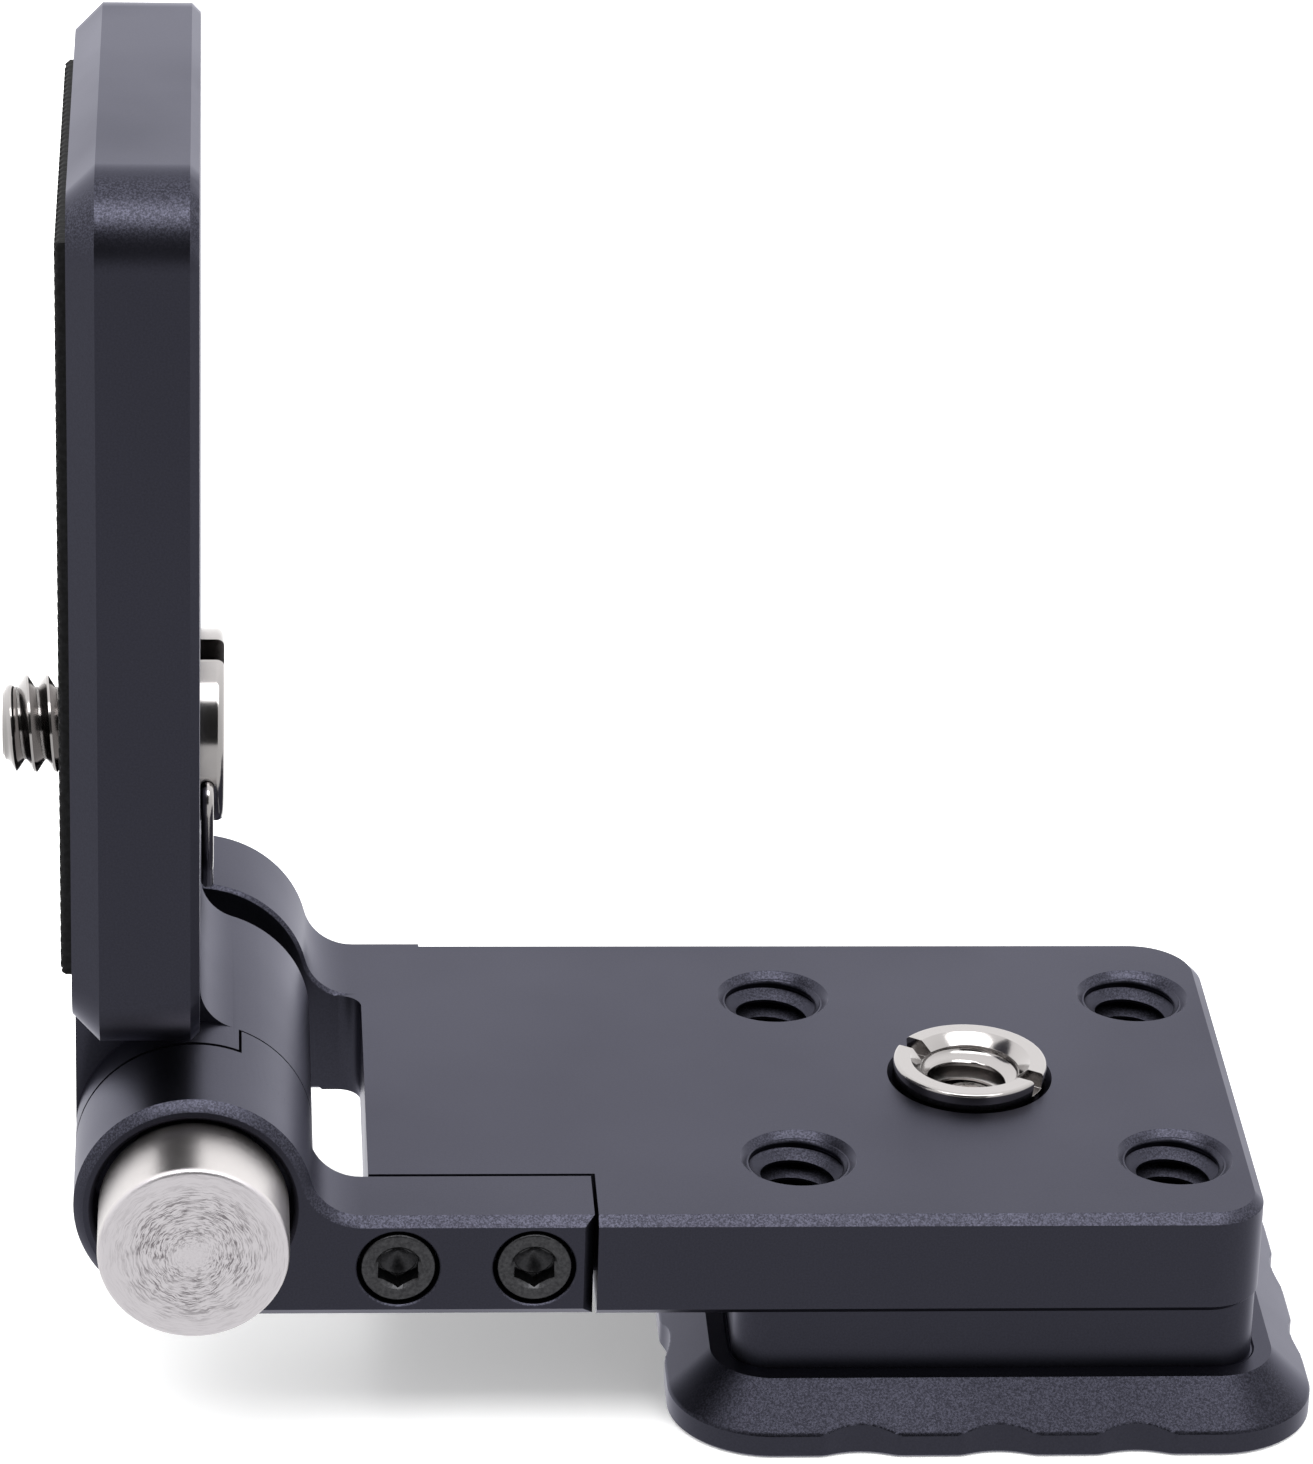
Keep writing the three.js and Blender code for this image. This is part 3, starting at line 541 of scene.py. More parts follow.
class Tree:
    """Node tree of a new material, with its shader and object coordinates."""

    def __init__(self, name: str, **sockets: object) -> None:
        """Starts a material whose Principled shader has the given socket values."""
        self.material = bpy.data.materials.new(name)
        self.material.use_nodes = True
        self.tree = self.material.node_tree
        self.shader = self.tree.nodes["Principled BSDF"]
        for socket, value in sockets.items():
            self.shader.inputs[socket.replace("_", " ")].default_value = value
        source = self.node("ShaderNodeTexCoord").outputs
        self.coordinates, self.normal = source["Object"], source["Normal"]

    def node(self, kind: str, inputs: dict | None = None, **settings: object) -> bpy.types.Node:
        """Adds a node.

        Args:
            kind: node type.
            inputs: socket name or number to a value, or to an output to link from.
            settings: properties of the node.

        Returns:
            The node.
        """
        node = self.tree.nodes.new(kind)
        for setting, value in settings.items():
            setattr(node, setting, value)
        for socket, value in (inputs or {}).items():
            if isinstance(value, Socket):
                self.tree.links.new(value, node.inputs[socket])
            else:
                node.inputs[socket].default_value = value
        return node

    def link(self, output: Socket, socket: str) -> None:
        """Links an output to a socket of the shader."""
        self.tree.links.new(output, self.shader.inputs[socket])

    def noise(self, size: float, detail: float = 2.0, rough: float = 0.5) -> Socket:
        """Noise whose lumps are about one size, in millimetres, across."""
        scale = 0.5 / (size * MM)
        inputs = {"Vector": self.coordinates, "Scale": scale, "Detail": detail, "Roughness": rough}
        return self.node("ShaderNodeTexNoise", inputs).outputs["Fac"]

    def ramp(self, value: Socket, low: Pair, high: Pair) -> Socket:
        """Maps value from low[0]..high[0] to low[1]..high[1], held at both ends."""
        inputs = {"Value": value, 1: low[0], 2: high[0], 3: low[1], 4: high[1]}
        return self.node("ShaderNodeMapRange", inputs).outputs["Result"]

    def mix(self, factor: Socket, dark: str, light: str) -> Socket:
        """Mixes two sRGB hex colours by a factor."""
        inputs = {0: factor, 6: linear(dark), 7: linear(light)}
        return self.node("ShaderNodeMix", inputs, data_type="RGBA").outputs[2]

    def bump(self, height: Socket, depth: float) -> Socket:
        """Bump of a depth in millimetres."""
        inputs = {"Height": height, "Distance": depth * MM, "Strength": 1.0}
        return self.node("ShaderNodeBump", inputs).outputs["Normal"]

    def times(self, *factors: Socket) -> Socket:
        """Product of two values."""
        return self.node("ShaderNodeMath", dict(enumerate(factors)), operation="MULTIPLY").outputs[0]

    def radial(self, centre: Array, axis: Axis) -> tuple[Socket, Socket]:
        """Distance from an axis line, and the direction away from it, as a vector of length one."""
        place = ((centre + LAYOUT.origin) * MM).tolist()
        keep = [1.0, 1.0, 1.0]
        keep[axis.value[2]] = 0.0
        offset = self.node("ShaderNodeVectorMath", {0: self.coordinates, 1: place}, operation="SUBTRACT")
        flat = self.node("ShaderNodeVectorMath", {0: offset.outputs[0], 1: keep}, operation="MULTIPLY")
        length = self.node("ShaderNodeVectorMath", {0: flat.outputs[0]}, operation="LENGTH")
        away = self.node("ShaderNodeVectorMath", {0: flat.outputs[0]}, operation="NORMALIZE")
        return length.outputs["Value"], away.outputs[0]


@dataclass(frozen=True)
class AnodisedAluminium:
    """Aluminium, milled, bead-blasted fine and dyed black in the anodising bath.

    The dye leaves a near black with a violet tint that mirrors a broad, soft light at a slant. Flats and
    barrels are a smooth satin; on edges cut at a slant to the hinge, and up, a sparkle with a grain of less
    than a tenth of a millimetre is painted into the colour: a painted highlight where the light catches them.

    Attributes:
        dark: dye in the hollows of the plain surfaces.
        light: dye on their high spots.
        painted_glint_dark: colour between the specks of the painted sparkle on the slanted, upward edges.
        painted_glint_light: the painted sparkle's specks, a painted highlight on those edges' high spots.
        edge_tint: tint at a grazing angle.
        grain: size of the blasted grain, in millimetres.
        roughness: from and to, over slow clouds.
    """

    dark: str = "#303038"
    light: str = "#35353e"
    painted_glint_dark: str = "#2a2a31"
    painted_glint_light: str = "#43434e"
    edge_tint: str = "#f6f6ff"
    grain: float = 0.065
    roughness: Pair = (0.34, 0.42)

    def build(self) -> Material:
        """Makes the material.

        The painted sparkle, a highlight painted into the colour, is let in where the surface's normal n
        slants
        to the hinge and up: it rises over |n.y| from 0.25 to 0.45, goes again from 0.85 to 0.97, and rises
        over n.z from 0.1 to 0.4.
        """
        tree = Tree("anodised_bead_blasted_aluminium", Metallic=1.0, Specular_Tint=linear(self.edge_tint))
        grain = tree.noise(self.grain, detail=3.0, rough=0.75)
        cloud = tree.noise(9.0, detail=3.0)
        normal = tree.node("ShaderNodeSeparateXYZ", {0: tree.normal}).outputs
        # Mask of the painted sparkle: faces slanting to the hinge and facing up, where the light catches
        # them.
        tilt = tree.node("ShaderNodeMath", {0: normal["Y"]}, operation="ABSOLUTE").outputs[0]
        rise, fall = tree.ramp(tilt, (0.25, 0.0), (0.45, 1.0)), tree.ramp(tilt, (0.85, 1.0), (0.97, 0.0))
        up = tree.ramp(normal["Z"], (0.1, 0.0), (0.4, 1.0))
        slant = tree.times(tree.times(rise, fall), up)
        plain = tree.mix(tree.ramp(grain, (0.35, 0.0), (0.65, 1.0)), self.dark, self.light)
        # Painted highlight: the sparkle's specks, darker and lighter than the plain dye, painted into the
        # colour.
        painted_glint = tree.mix(tree.ramp(grain, (0.42, 0.0), (0.62, 1.0)), self.painted_glint_dark, self.painted_glint_light)
        blend = tree.node("ShaderNodeMix", {0: slant, 6: plain, 7: painted_glint}, data_type="RGBA")
        tree.link(blend.outputs[2], "Base Color")
        tree.link(tree.ramp(cloud, (0.35, self.roughness[0]), (0.65, self.roughness[1])), "Roughness")
        depth = tree.times(grain, tree.ramp(slant, (0.0, 0.12), (1.0, 1.0)))
        tree.link(tree.bump(depth, 0.007), "Normal")
        return tree.material


@dataclass(frozen=True)
class Rubber:
    """Moulded black rubber with a fine skin: dull, a little darker in the skin's hollows and lighter on its
    high spots.
    """

    dark: str = "#0b0b0c"
    light: str = "#151517"

    def build(self) -> Material:
        """Makes the material."""
        tree = Tree("moulded_black_rubber", Roughness=0.65, Specular_IOR_Level=0.1)
        skin = tree.noise(0.16, detail=4.0)
        tree.link(tree.mix(tree.ramp(skin, (0.4, 0.0), (0.7, 1.0)), self.dark, self.light), "Base Color")
        tree.link(tree.bump(skin, 0.03), "Normal")
        return tree.material


@dataclass(frozen=True)
class NickelPlate:
    """Steel, turned and bright nickel plated: a warm mirror with faint handling marks."""

    colour: str = "#9a9796"

    def build(self) -> Material:
        """Makes the material."""
        tree = Tree("bright_nickel_plate", Metallic=1.0, Base_Color=linear(self.colour))
        haze = tree.noise(1.6, detail=4.0)
        tree.link(tree.ramp(haze, (0.35, 0.1), (0.7, 0.2)), "Roughness")
        tree.link(tree.bump(tree.noise(0.25, detail=3.0), 0.001), "Normal")
        return tree.material


@dataclass(frozen=True)
class TurnedStainless:
    """Stainless steel faced on a lathe: satin sides, and a face with patchy rings of short, fine scratches.

    Attributes:
        centre: where the turning axis passes.
        face_y: the face's place along Y; beyond it the sides' finish begins.
        side: colour of the sides.
        bright: colour of the face.
        dull: colour of its scratches.
    """

    centre: Triple
    face_y: float
    side: str = "#b9b5b4"
    bright: str = "#c8c4c7"
    dull: str = "#7f7a7d"

    def build(self) -> Material:
        """Makes the material.

        The scratches are noise over (distance from the axis, direction from the axis), stretched so that a
        mark is about 0.08 mm wide and 0.5 mm long, bent a little by a slower noise, and kept where another
        slow noise lets them through, away from the centre and the rim.
        """
        tree = Tree("turned_stainless_steel", Metallic=1.0)
        distance, away = tree.radial(np.array(self.centre), Axis.Y)
        spread = tree.node("ShaderNodeVectorMath", {0: away, 3: 4.6}, operation="SCALE").outputs[0]
        bend = tree.ramp(tree.noise(0.5, detail=2.0), (0.3, 0.0), (0.7, 2.4))
        inputs = {0: distance, 1: 1 / (0.085 * MM), 2: bend}
        across = tree.node("ShaderNodeMath", inputs, operation="MULTIPLY_ADD").outputs[0]
        lift = tree.node("ShaderNodeCombineXYZ", {"Y": across}).outputs[0]
        place = tree.node("ShaderNodeVectorMath", {0: spread, 1: lift}, operation="ADD").outputs[0]
        inputs = {"Vector": place, "Scale": 1.0, "Detail": 4.0, "Roughness": 0.6}
        marks = tree.node("ShaderNodeTexNoise", inputs).outputs["Fac"]
        patches = tree.ramp(tree.noise(0.55, detail=3.0), (0.4, 0.45), (0.55, 1.0))
        inside = tree.ramp(distance, (3.4 * MM, 1.0), (5.0 * MM, 0.2))
        outside = tree.ramp(distance, (0.5 * MM, 0.25), (1.6 * MM, 1.0))
        kept = tree.times(patches, tree.times(inside, outside))
        scratches = tree.times(tree.ramp(marks, (0.47, 0.0), (0.6, 1.0)), kept)
        split = tree.node("ShaderNodeSeparateXYZ", {0: tree.coordinates})
        edge = (self.face_y + LAYOUT.origin[1]) * MM
        behind = tree.ramp(split.outputs["Y"], (edge + 0.1 * MM, 0.0), (edge + 0.3 * MM, 1.0))
        face = tree.mix(scratches, self.bright, self.dull)
        inputs = {0: behind, 6: face, 7: linear(self.side)}
        colour = tree.node("ShaderNodeMix", inputs, data_type="RGBA").outputs[2]
        tree.link(colour, "Base Color")
        tree.link(tree.ramp(scratches, (0.0, 0.34), (1.0, 0.5)), "Roughness")
        tree.link(tree.bump(scratches, 0.012), "Normal")
        return tree.material


@dataclass(frozen=True)
class PlainMetal:
    """A plain metal finish with a grain and a little unevenness.

    Attributes:
        name: name of the metal and its process.
        dark: colour in the hollows.
        light: colour on the high spots.
        roughness: from and to.
        grain: size of the grain, in millimetres.
    """

    name: str
    dark: str
    light: str
    roughness: Pair
    grain: float = 0.2

    def build(self) -> Material:
        """Makes the material."""
        tree = Tree(self.name, Metallic=1.0)
        grain = tree.noise(self.grain, detail=4.0, rough=0.6)
        tree.link(tree.mix(tree.ramp(grain, (0.35, 0.0), (0.65, 1.0)), self.dark, self.light), "Base Color")
        tree.link(tree.ramp(grain, (0.3, self.roughness[0]), (0.7, self.roughness[1])), "Roughness")
        tree.link(tree.bump(grain, 0.004), "Normal")
        return tree.material


@dataclass
class Finishes:
    """Every material of the bracket, each made once."""

    aluminium: Material = field(default_factory=lambda: AnodisedAluminium().build())
    rubber: Material = field(default_factory=lambda: Rubber().build())
    # Aluminium of the foot: the same finish with its painted sparkle darker, painted shade for the base plate
    # that hangs over the skirt.
    foot_aluminium_painted_shade: Material = field(
        default_factory=lambda: AnodisedAluminium(painted_glint_dark="#1f1f25", painted_glint_light="#33333c").build())
    nickel: Material = field(default_factory=lambda: NickelPlate().build())
    button: Material = field(
        default_factory=lambda: TurnedStainless(centre=(0.0, 0.0, HINGE_Z), face_y=-HALF - 5.6).build())
    stainless: Material = field(
        default_factory=lambda: PlainMetal("turned_stainless", "#a9a5a3", "#cfcac7", (0.24, 0.4)).build())
    black_oxide: Material = field(
        default_factory=lambda: PlainMetal(
            "black_oxide_steel", "#333335", "#464648", (0.32, 0.42), grain=0.1).build())
    spring: Material = field(
        default_factory=lambda: PlainMetal("drawn_spring_steel", "#8a8987", "#a8a6a3", (0.2, 0.34)).build())


# ------------------------------------------------------------------------------------------ base


@dataclass(frozen=True)
class Knuckle:
    """Outline of a base knuckle seen along the hinge: barrel, concave fillet and flat bar.

    Attributes:
        radius: barrel radius.
        fillet: radius between barrel and bar.
        thickness: thickness of the bar.
        end: where the bar ends along X.
    """

    end: float
    radius: float = 7.45
    fillet: float = 3.3
    thickness: float = 7.0

    def outline(self, inset: float) -> Array:
        """Outline drawn in by an inset: the barrel shrinks, the fillet grows and the bar thins.

        The fillet's centre lies radius + fillet from the hinge axis and fillet above the bar.
        """
        centre_z = self.thickness + self.fillet
        reach = self.radius + self.fillet
        centre_x = np.sqrt(reach ** 2 - (centre_z - HINGE_Z) ** 2)
        meet = np.degrees(np.arctan2(centre_z - HINGE_Z, centre_x))
        return np.concatenate([
            [(self.end - inset, inset), (self.end - inset, self.thickness - inset)],
            arc((centre_x, centre_z), self.fillet + inset, 270, 180 + meet, 14)[:-1],
            arc((0.0, HINGE_Z), self.radius - inset, meet, 270, 72),
            [(self.radius / 3, inset)],
        ])


@dataclass
class BasePlate:
    """Horizontal plate with the far hinge knuckle, four threaded holes and the bushing's seat."""

    finishes: Finishes
    slot_x: float = 10.9
    slot_corner: float = 1.5
    end_x: float = 67.3
    thickness: float = 7.0
    chamfer: float = 0.6
    lower_chamfer: float = 0.5
    corner_near: float = 3.5
    corner_far: float = 4.5
    far_knuckle_y: float = 11.2
    arm_thickness: float = 5.7
    arm_end_x: float = 24.9
    notch_gap: Pair = (0.25, 0.15)
    centre_x: float = 50.2
    pattern: Pair = (24.0, 22.2)
    hole_chamfer: float = 3.7

    def plate(self) -> Solid:
        """Slab with a 45 degree chamfer round its top and bottom."""
        def outline(inset: float) -> Array:
            """Outline of the slab, reaching past the hinge slot."""
            radii = (0, self.corner_near, self.corner_far, 0)
            return rounded_rectangle((self.slot_x - 3, -HALF), (self.end_x, HALF), radii, inset)

        low, high = self.lower_chamfer, self.chamfer
        levels = [(low, 0), (0, low), (0, self.thickness - high), (high, self.thickness)]
        slot_low, slot_high = (self.slot_x - 8, -HALF - 1), (self.slot_x, self.far_knuckle_y)
        slot = rounded_rectangle(slot_low, slot_high, (0, 0, self.slot_corner, 0))
        cutter = prism(Axis.Z, slot, -1, self.thickness + 1)
        return Solid("base_plate_milled", extruded(Axis.Z, outline, levels)).cut(Solid("hinge_slot", cutter))

    def knuckle(self) -> Solid:
        """Far knuckle, whose bar runs into the slab, with chamfered ends."""
        outline = Knuckle(end=self.slot_x + 4).outline
        start, stop, edge = self.far_knuckle_y, HALF, 0.25
        levels = [(edge, start), (0, start + edge), (0, stop - edge), (edge, stop)]
        return Solid("far_knuckle", extruded(Axis.Y, outline, levels))

    def hole(self, x: float, y: float) -> Solid:
        """Through hole at the thread's major radius with a 90 degree countersink at both mouths."""
        bore = QUARTER.major + EPS
        flare = self.hole_chamfer - bore
        over = 1.0
        top = self.thickness
        mouth = self.hole_chamfer + over
        return Solid("hole", turned(Axis.Z, (x, y), [
            (mouth, -over), (bore, flare), (bore, top - flare), (mouth, top + over),
        ]))

    def liner(self, x: float, y: float) -> Surface:
        """Thread of one hole."""
        start = self.hole_chamfer - QUARTER.major - 0.1
        return QUARTER.surface(Axis.Z, (x, y), start, self.thickness - start, QUARTER.major + 0.1, inner=True)

    def build(self) -> None:
        """Makes the plate, cuts it and dresses it."""
        cx = self.centre_x
        reach_x, reach_y = self.pattern[0] / 2, self.pattern[1] / 2
        corners = [(cx + sx * reach_x, sy * reach_y) for sx in (-1, 1) for sy in (-1, 1)]
        notch_x = self.arm_end_x + self.notch_gap[0]
        notch_y = -HALF + self.arm_thickness + self.notch_gap[1]
        seat = turned(Axis.Z, (cx, 0), [(5.0, -1), (5.0, 6.6), (5.35, 6.95), (5.35, 8)])
        plug = turned(Axis.Y, (0, HINGE_Z), [(5.7, 15.5), (5.7, 18.7), (6.0, 19.0), (6.0, 20)])
        pin = turned(Axis.Y, (0, HINGE_Z), [(4.25, 10), (4.25, 16)])
        solid = self.plate().join(self.knuckle()).cut(
            Solid("notch", box((self.slot_x - 1, -HALF - 1, -1), (notch_x, notch_y, 8))),
            *(self.hole(*corner) for corner in corners),
            Solid("bushing_seat", seat),
            Solid("plug_bore", plug),
            Solid("pin_bore", pin),
        )
        solid.soften(0.1)
        solid.add(*(self.liner(*corner) for corner in corners))
        solid.dress("base_plate", "base", Slot.ALUMINIUM, self.finishes.aluminium)


@dataclass
class FrontArm:
    """Near hinge knuckle on its own bar, with the push button's bore and two counterbored screws."""

    finishes: Finishes
    end_x: float = 24.9
    inner_y: float = -13.3
    seam_y: float = -8.3
    recess_y: float = -11.2
    recess_angles: Pair = (-181.5, 23.5)
    bore: float = 6.2
    screw_x: Pair = (12.7, 21.2)
    screw_z: float = 3.5
    counterbore: float = 2.6
    edge: float = 0.6

    def build(self) -> None:
        """Makes the arm, cuts it and dresses it."""
        centre = (0.0, HINGE_Z)
        levels = [(self.edge, -HALF), (0, -HALF + self.edge), (0, self.inner_y - 0.15), (0.15, self.inner_y)]
        solid = Solid("front_arm_milled", extruded(Axis.Y, Knuckle(end=self.end_x).outline, levels))
        barrel = turned(Axis.Y, centre, [(7.45, self.inner_y - 0.35), (7.45, self.seam_y)])
        bore = turned(Axis.Y, centre, [
            (self.bore + 1.3, -HALF - 1), (self.bore, -HALF + 0.3), (self.bore, -14.2), (4.35, -14.2),
            (4.35, -11.3), (5.5, -11.3), (5.5, -8),
        ])
        screws = [turned(Axis.Y, (x, self.screw_z), [
            (self.counterbore + 0.3, -HALF - 0.2), (self.counterbore, -HALF + 0.1),
            (self.counterbore, -HALF + 3.3), (1.7, -HALF + 3.3), (1.7, -13),
        ]) for x in self.screw_x]
        recess = sector(centre, 6.0, 8.5, self.recess_angles, 80)
        solid.join(Solid("barrel", barrel)).cut(
            Solid("sector", prism(Axis.Y, recess, self.recess_y, -7)),
            Solid("bore", bore),
            *(Solid("screw_seat", seat) for seat in screws),
        )
        solid.soften(0.16)
        solid.dress("front_arm", "base", Slot.ALUMINIUM, self.finishes.aluminium)
        for x, node in zip(self.screw_x, ("arm_screw_inner", "arm_screw_outer")):
            self.screw(x, node)

    def screw(self, x: float, node: str) -> None:
        """One M3 socket cap screw: rounded head, hexagon socket with a drilled bottom."""
        front = -HALF + 0.1
        centre = (x, self.screw_z)
        radius, shank, under = 2.35, 1.45, front + 2.7
        body = Solid(node + "_turned", turned(Axis.Y, centre, [
            (1.9, front), *rounded_rim(radius, front, 0.2, 5, first=True),
            (radius, under), (shank, under), (shank, self.inner_y + 5.5),
        ]))
        socket = prism(Axis.Y, polygon(6, 2.5, centre), front - 1, front + 1.5)
        drill = turned(Axis.Y, centre, [(1.25, front - 1), (1.25, front + 1.6), (0.05, front + 2.2)])
        lead = turned(Axis.Y, centre, [(2.0, front - 0.5), (1.3, front + 0.22)])
        body.cut(Solid("socket", socket), Solid("drill", drill), Solid("lead", lead)).soften(0.04)
        body.dress(node, "base", Slot.BLACK_OXIDE, self.finishes.black_oxide)


@dataclass
class Bushing:
    """Slotted reducing bushing, 3/8-16 outside and 1/4-20 inside, a little proud of the base plate."""

    finishes: Finishes
    centre: Pair = (50.2, 0.0)
    flange: float = 5.0
    crown: float = 0.25
    top_z: float = 8.15
    slot_width: float = 1.3
    slot_depth: float = 1.1
    slot_angle: float = -32.0

    def build(self) -> None:
        """Makes the bushing: crowned flange, coin slot, threads inside and outside."""
        top = self.top_z
        solid = Solid("bushing_turned", turned(Axis.Z, self.centre, [
            (4.3, 0.4), (4.3, 6.7), (4.9, 7.0), *rounded_rim(self.flange, top, self.crown, 8),
        ]))
        bore = turned(Axis.Z, self.centre, [
            (QUARTER.major + EPS, -1), (QUARTER.major + EPS, top - 0.7), (QUARTER.major + 0.72, top),
            (QUARTER.major + 0.72, top + 1),
        ])
        half = self.slot_width / 2
        x, y = self.centre
        slot = box((x - 7, y - half, top - self.slot_depth), (x + 7, y + half, top + 1))
        solid.cut(Solid("bore", bore), Solid("slot", spun(slot, Axis.Z, self.centre, self.slot_angle)))
        solid.soften(0.1, segments=3)
        solid.add(
            QUARTER.surface(Axis.Z, self.centre, 0.5, top - 0.8, QUARTER.major + 0.1, inner=True),
            THREE_EIGHTHS.surface(Axis.Z, self.centre, 0.6, 6.4, 3.6),
        )
        solid.dress("reducing_bushing", "base", Slot.NICKEL, self.finishes.nickel)


@dataclass
class Foot:
    """Square quick-release foot: pedestal, ledge, 45 degree skirt and a rim with soft scallops."""

    finishes: Finishes
    centre: Pair = (50.2, 0.0)
    shift: float = 0.55
    rim_half: float = 20.65
    corner: float = 6.5
    bottom_z: float = -9.4
    rim_top_z: float = -7.75
    ledge_z: float = -5.1
    pedestal_half: float = 16.65
    pitch: float = 8.75
    scallop_radius: float = 5.1
    scallop_depth: float = 0.5
    head_seat: float = 7.3
    shank_hole: float = 3.6
    side_points: int = 240

    def rim(self) -> tuple[Array, Array, Array]:
        """Rim outline: points, outward normals, and how deep the scallops cut at each point.

        A scallop is the arc of a ball-nosed cutter, depth - s * s / 2 radius, with its shoulders rounded by
        the smooth maximum log(1 + exp(k d)) / k of that depth d and nothing.
        """
        reach = self.rim_half - self.corner
        run = np.linspace(-reach, reach, self.side_points)
        dips = np.zeros_like(run)
        for centre in (-self.pitch, 0.0, self.pitch):
            depth = self.scallop_depth - (run - centre) ** 2 / (2 * self.scallop_radius)
            dips += np.log1p(np.exp(np.clip(14 * depth, -60, 60))) / 14
        sides, normals, depths = [], [], []
        for quarter in range(4):
            angle = np.radians(90 * quarter)
            turn = np.array([[np.cos(angle), -np.sin(angle)], [np.sin(angle), np.cos(angle)]])
            straight = np.stack([run, np.full_like(run, -self.rim_half)], axis=1)
            bend = np.radians(np.linspace(-90, 0, CORNER + 2)[1:-1])
            away = np.stack([np.cos(bend), np.sin(bend)], axis=1)
            corner = np.array([reach, -reach]) + self.corner * away
            sides.append(np.concatenate([straight, corner]) @ turn.T)
            normals.append(np.concatenate([np.tile([0.0, -1.0], (len(run), 1)), away]) @ turn.T)
            depths.append(np.concatenate([dips, np.zeros(CORNER)]))
        return np.concatenate(sides), np.concatenate(normals), np.concatenate(depths)

    def build(self) -> None:
        """Makes the foot from rings drawn in from the rim: at each height the deeper of inset and scallop."""
        points, normals, dips = self.rim()
        skirt = self.ledge_z - self.rim_top_z
        slope = np.linspace(0.08, skirt, 34)
        neck = self.rim_half - self.pedestal_half
        levels = [(0.2, self.bottom_z), (0.0, self.bottom_z + 0.2), (0.0, self.rim_top_z - 0.08)]
        levels += [(inset, self.rim_top_z + inset) for inset in slope]
        levels += [(neck - 0.25, self.ledge_z), (neck - 0.12, self.ledge_z - 0.1), (neck, self.ledge_z - 0.1),
                   (neck, self.ledge_z + 0.4), (neck, -0.06)]
        rings = []
        for inset, z in levels:
            extra = 0.2 * (z == self.bottom_z)
            ring_points = points - normals * np.maximum(inset, dips + extra)[:, None]
            rings.append(along(Axis.Z, ring_points + np.array(self.centre) + [self.shift, 0.0], z))
        solid = Solid("foot_milled", loft(np.stack(rings)))
        low, seat, shank = self.bottom_z, self.head_seat, self.shank_hole
        bore = turned(Axis.Z, self.centre, [
            (seat + 0.5, low - 0.5), (seat, low + 0.3), (seat, low + 4), (shank, low + 4), (shank, 1),
        ])
        solid.cut(Solid("bore", bore))
        # The skirt's painted sparkle is darker here: painted shade under the base plate's overhang.
        solid.dress("foot_plate", "base", Slot.ALUMINIUM, self.finishes.foot_aluminium_painted_shade, smooth=24.0)
        self.screw()
        self.small_parts()

    def screw(self) -> None:
        """Foot screw: plain round head with a coin slot, and a thread that turns clear of the bushing's."""
        head_low, head_high = self.bottom_z + 0.4, self.bottom_z + 3.1
        core = SLIM_THREAD.major - SLIM_THREAD.depth
        surface = turned(Axis.Z, self.centre, [
            (6.3, head_low), (6.8, head_low + 0.5), (6.8, head_high - 0.3), (6.5, head_high),
            (core + 0.05, head_high), (core + 0.05, 5.5),
        ])
        x, y = self.centre
        slot = box((x - 9, y - 0.9, head_low - 1), (x + 9, y + 0.9, head_low + 1.2))
        solid = Solid("foot_screw_turned", surface).cut(Solid("slot", slot))
        solid.add(SLIM_THREAD.surface(Axis.Z, self.centre, head_high + 0.6, 5.6, core - 0.4))
        solid.dress("foot_screw", "foot_screw", Slot.STAINLESS, self.finishes.stainless)

    def small_parts(self) -> None:
        """Washer under the screw's head and the two dowels that keep the foot from turning."""
        low, high = LAYOUT.box("foot_washer")
        washer = Solid("foot_washer_pressed", ring(Axis.Z, self.centre, 3.5, 6.3, low[2], high[2], 0.06))
        washer.dress("foot_washer", "base", Slot.STAINLESS, self.finishes.stainless)
        for node in ("foot_dowel_left", "foot_dowel_right"):
            low, high = LAYOUT.box(node)
            centre = (float(low[0] + high[0]) / 2, 0.0)
            dowel = Solid(node + "_ground", turned(Axis.Z, centre, [
                (0.8, low[2]), (1.0, low[2] + 0.2), (1.0, high[2] - 0.2), (0.8, high[2]),
            ]))
            dowel.dress(node, "base", Slot.STAINLESS, self.finishes.stainless)


# ------------------------------------------------------------------------------------------ hinge


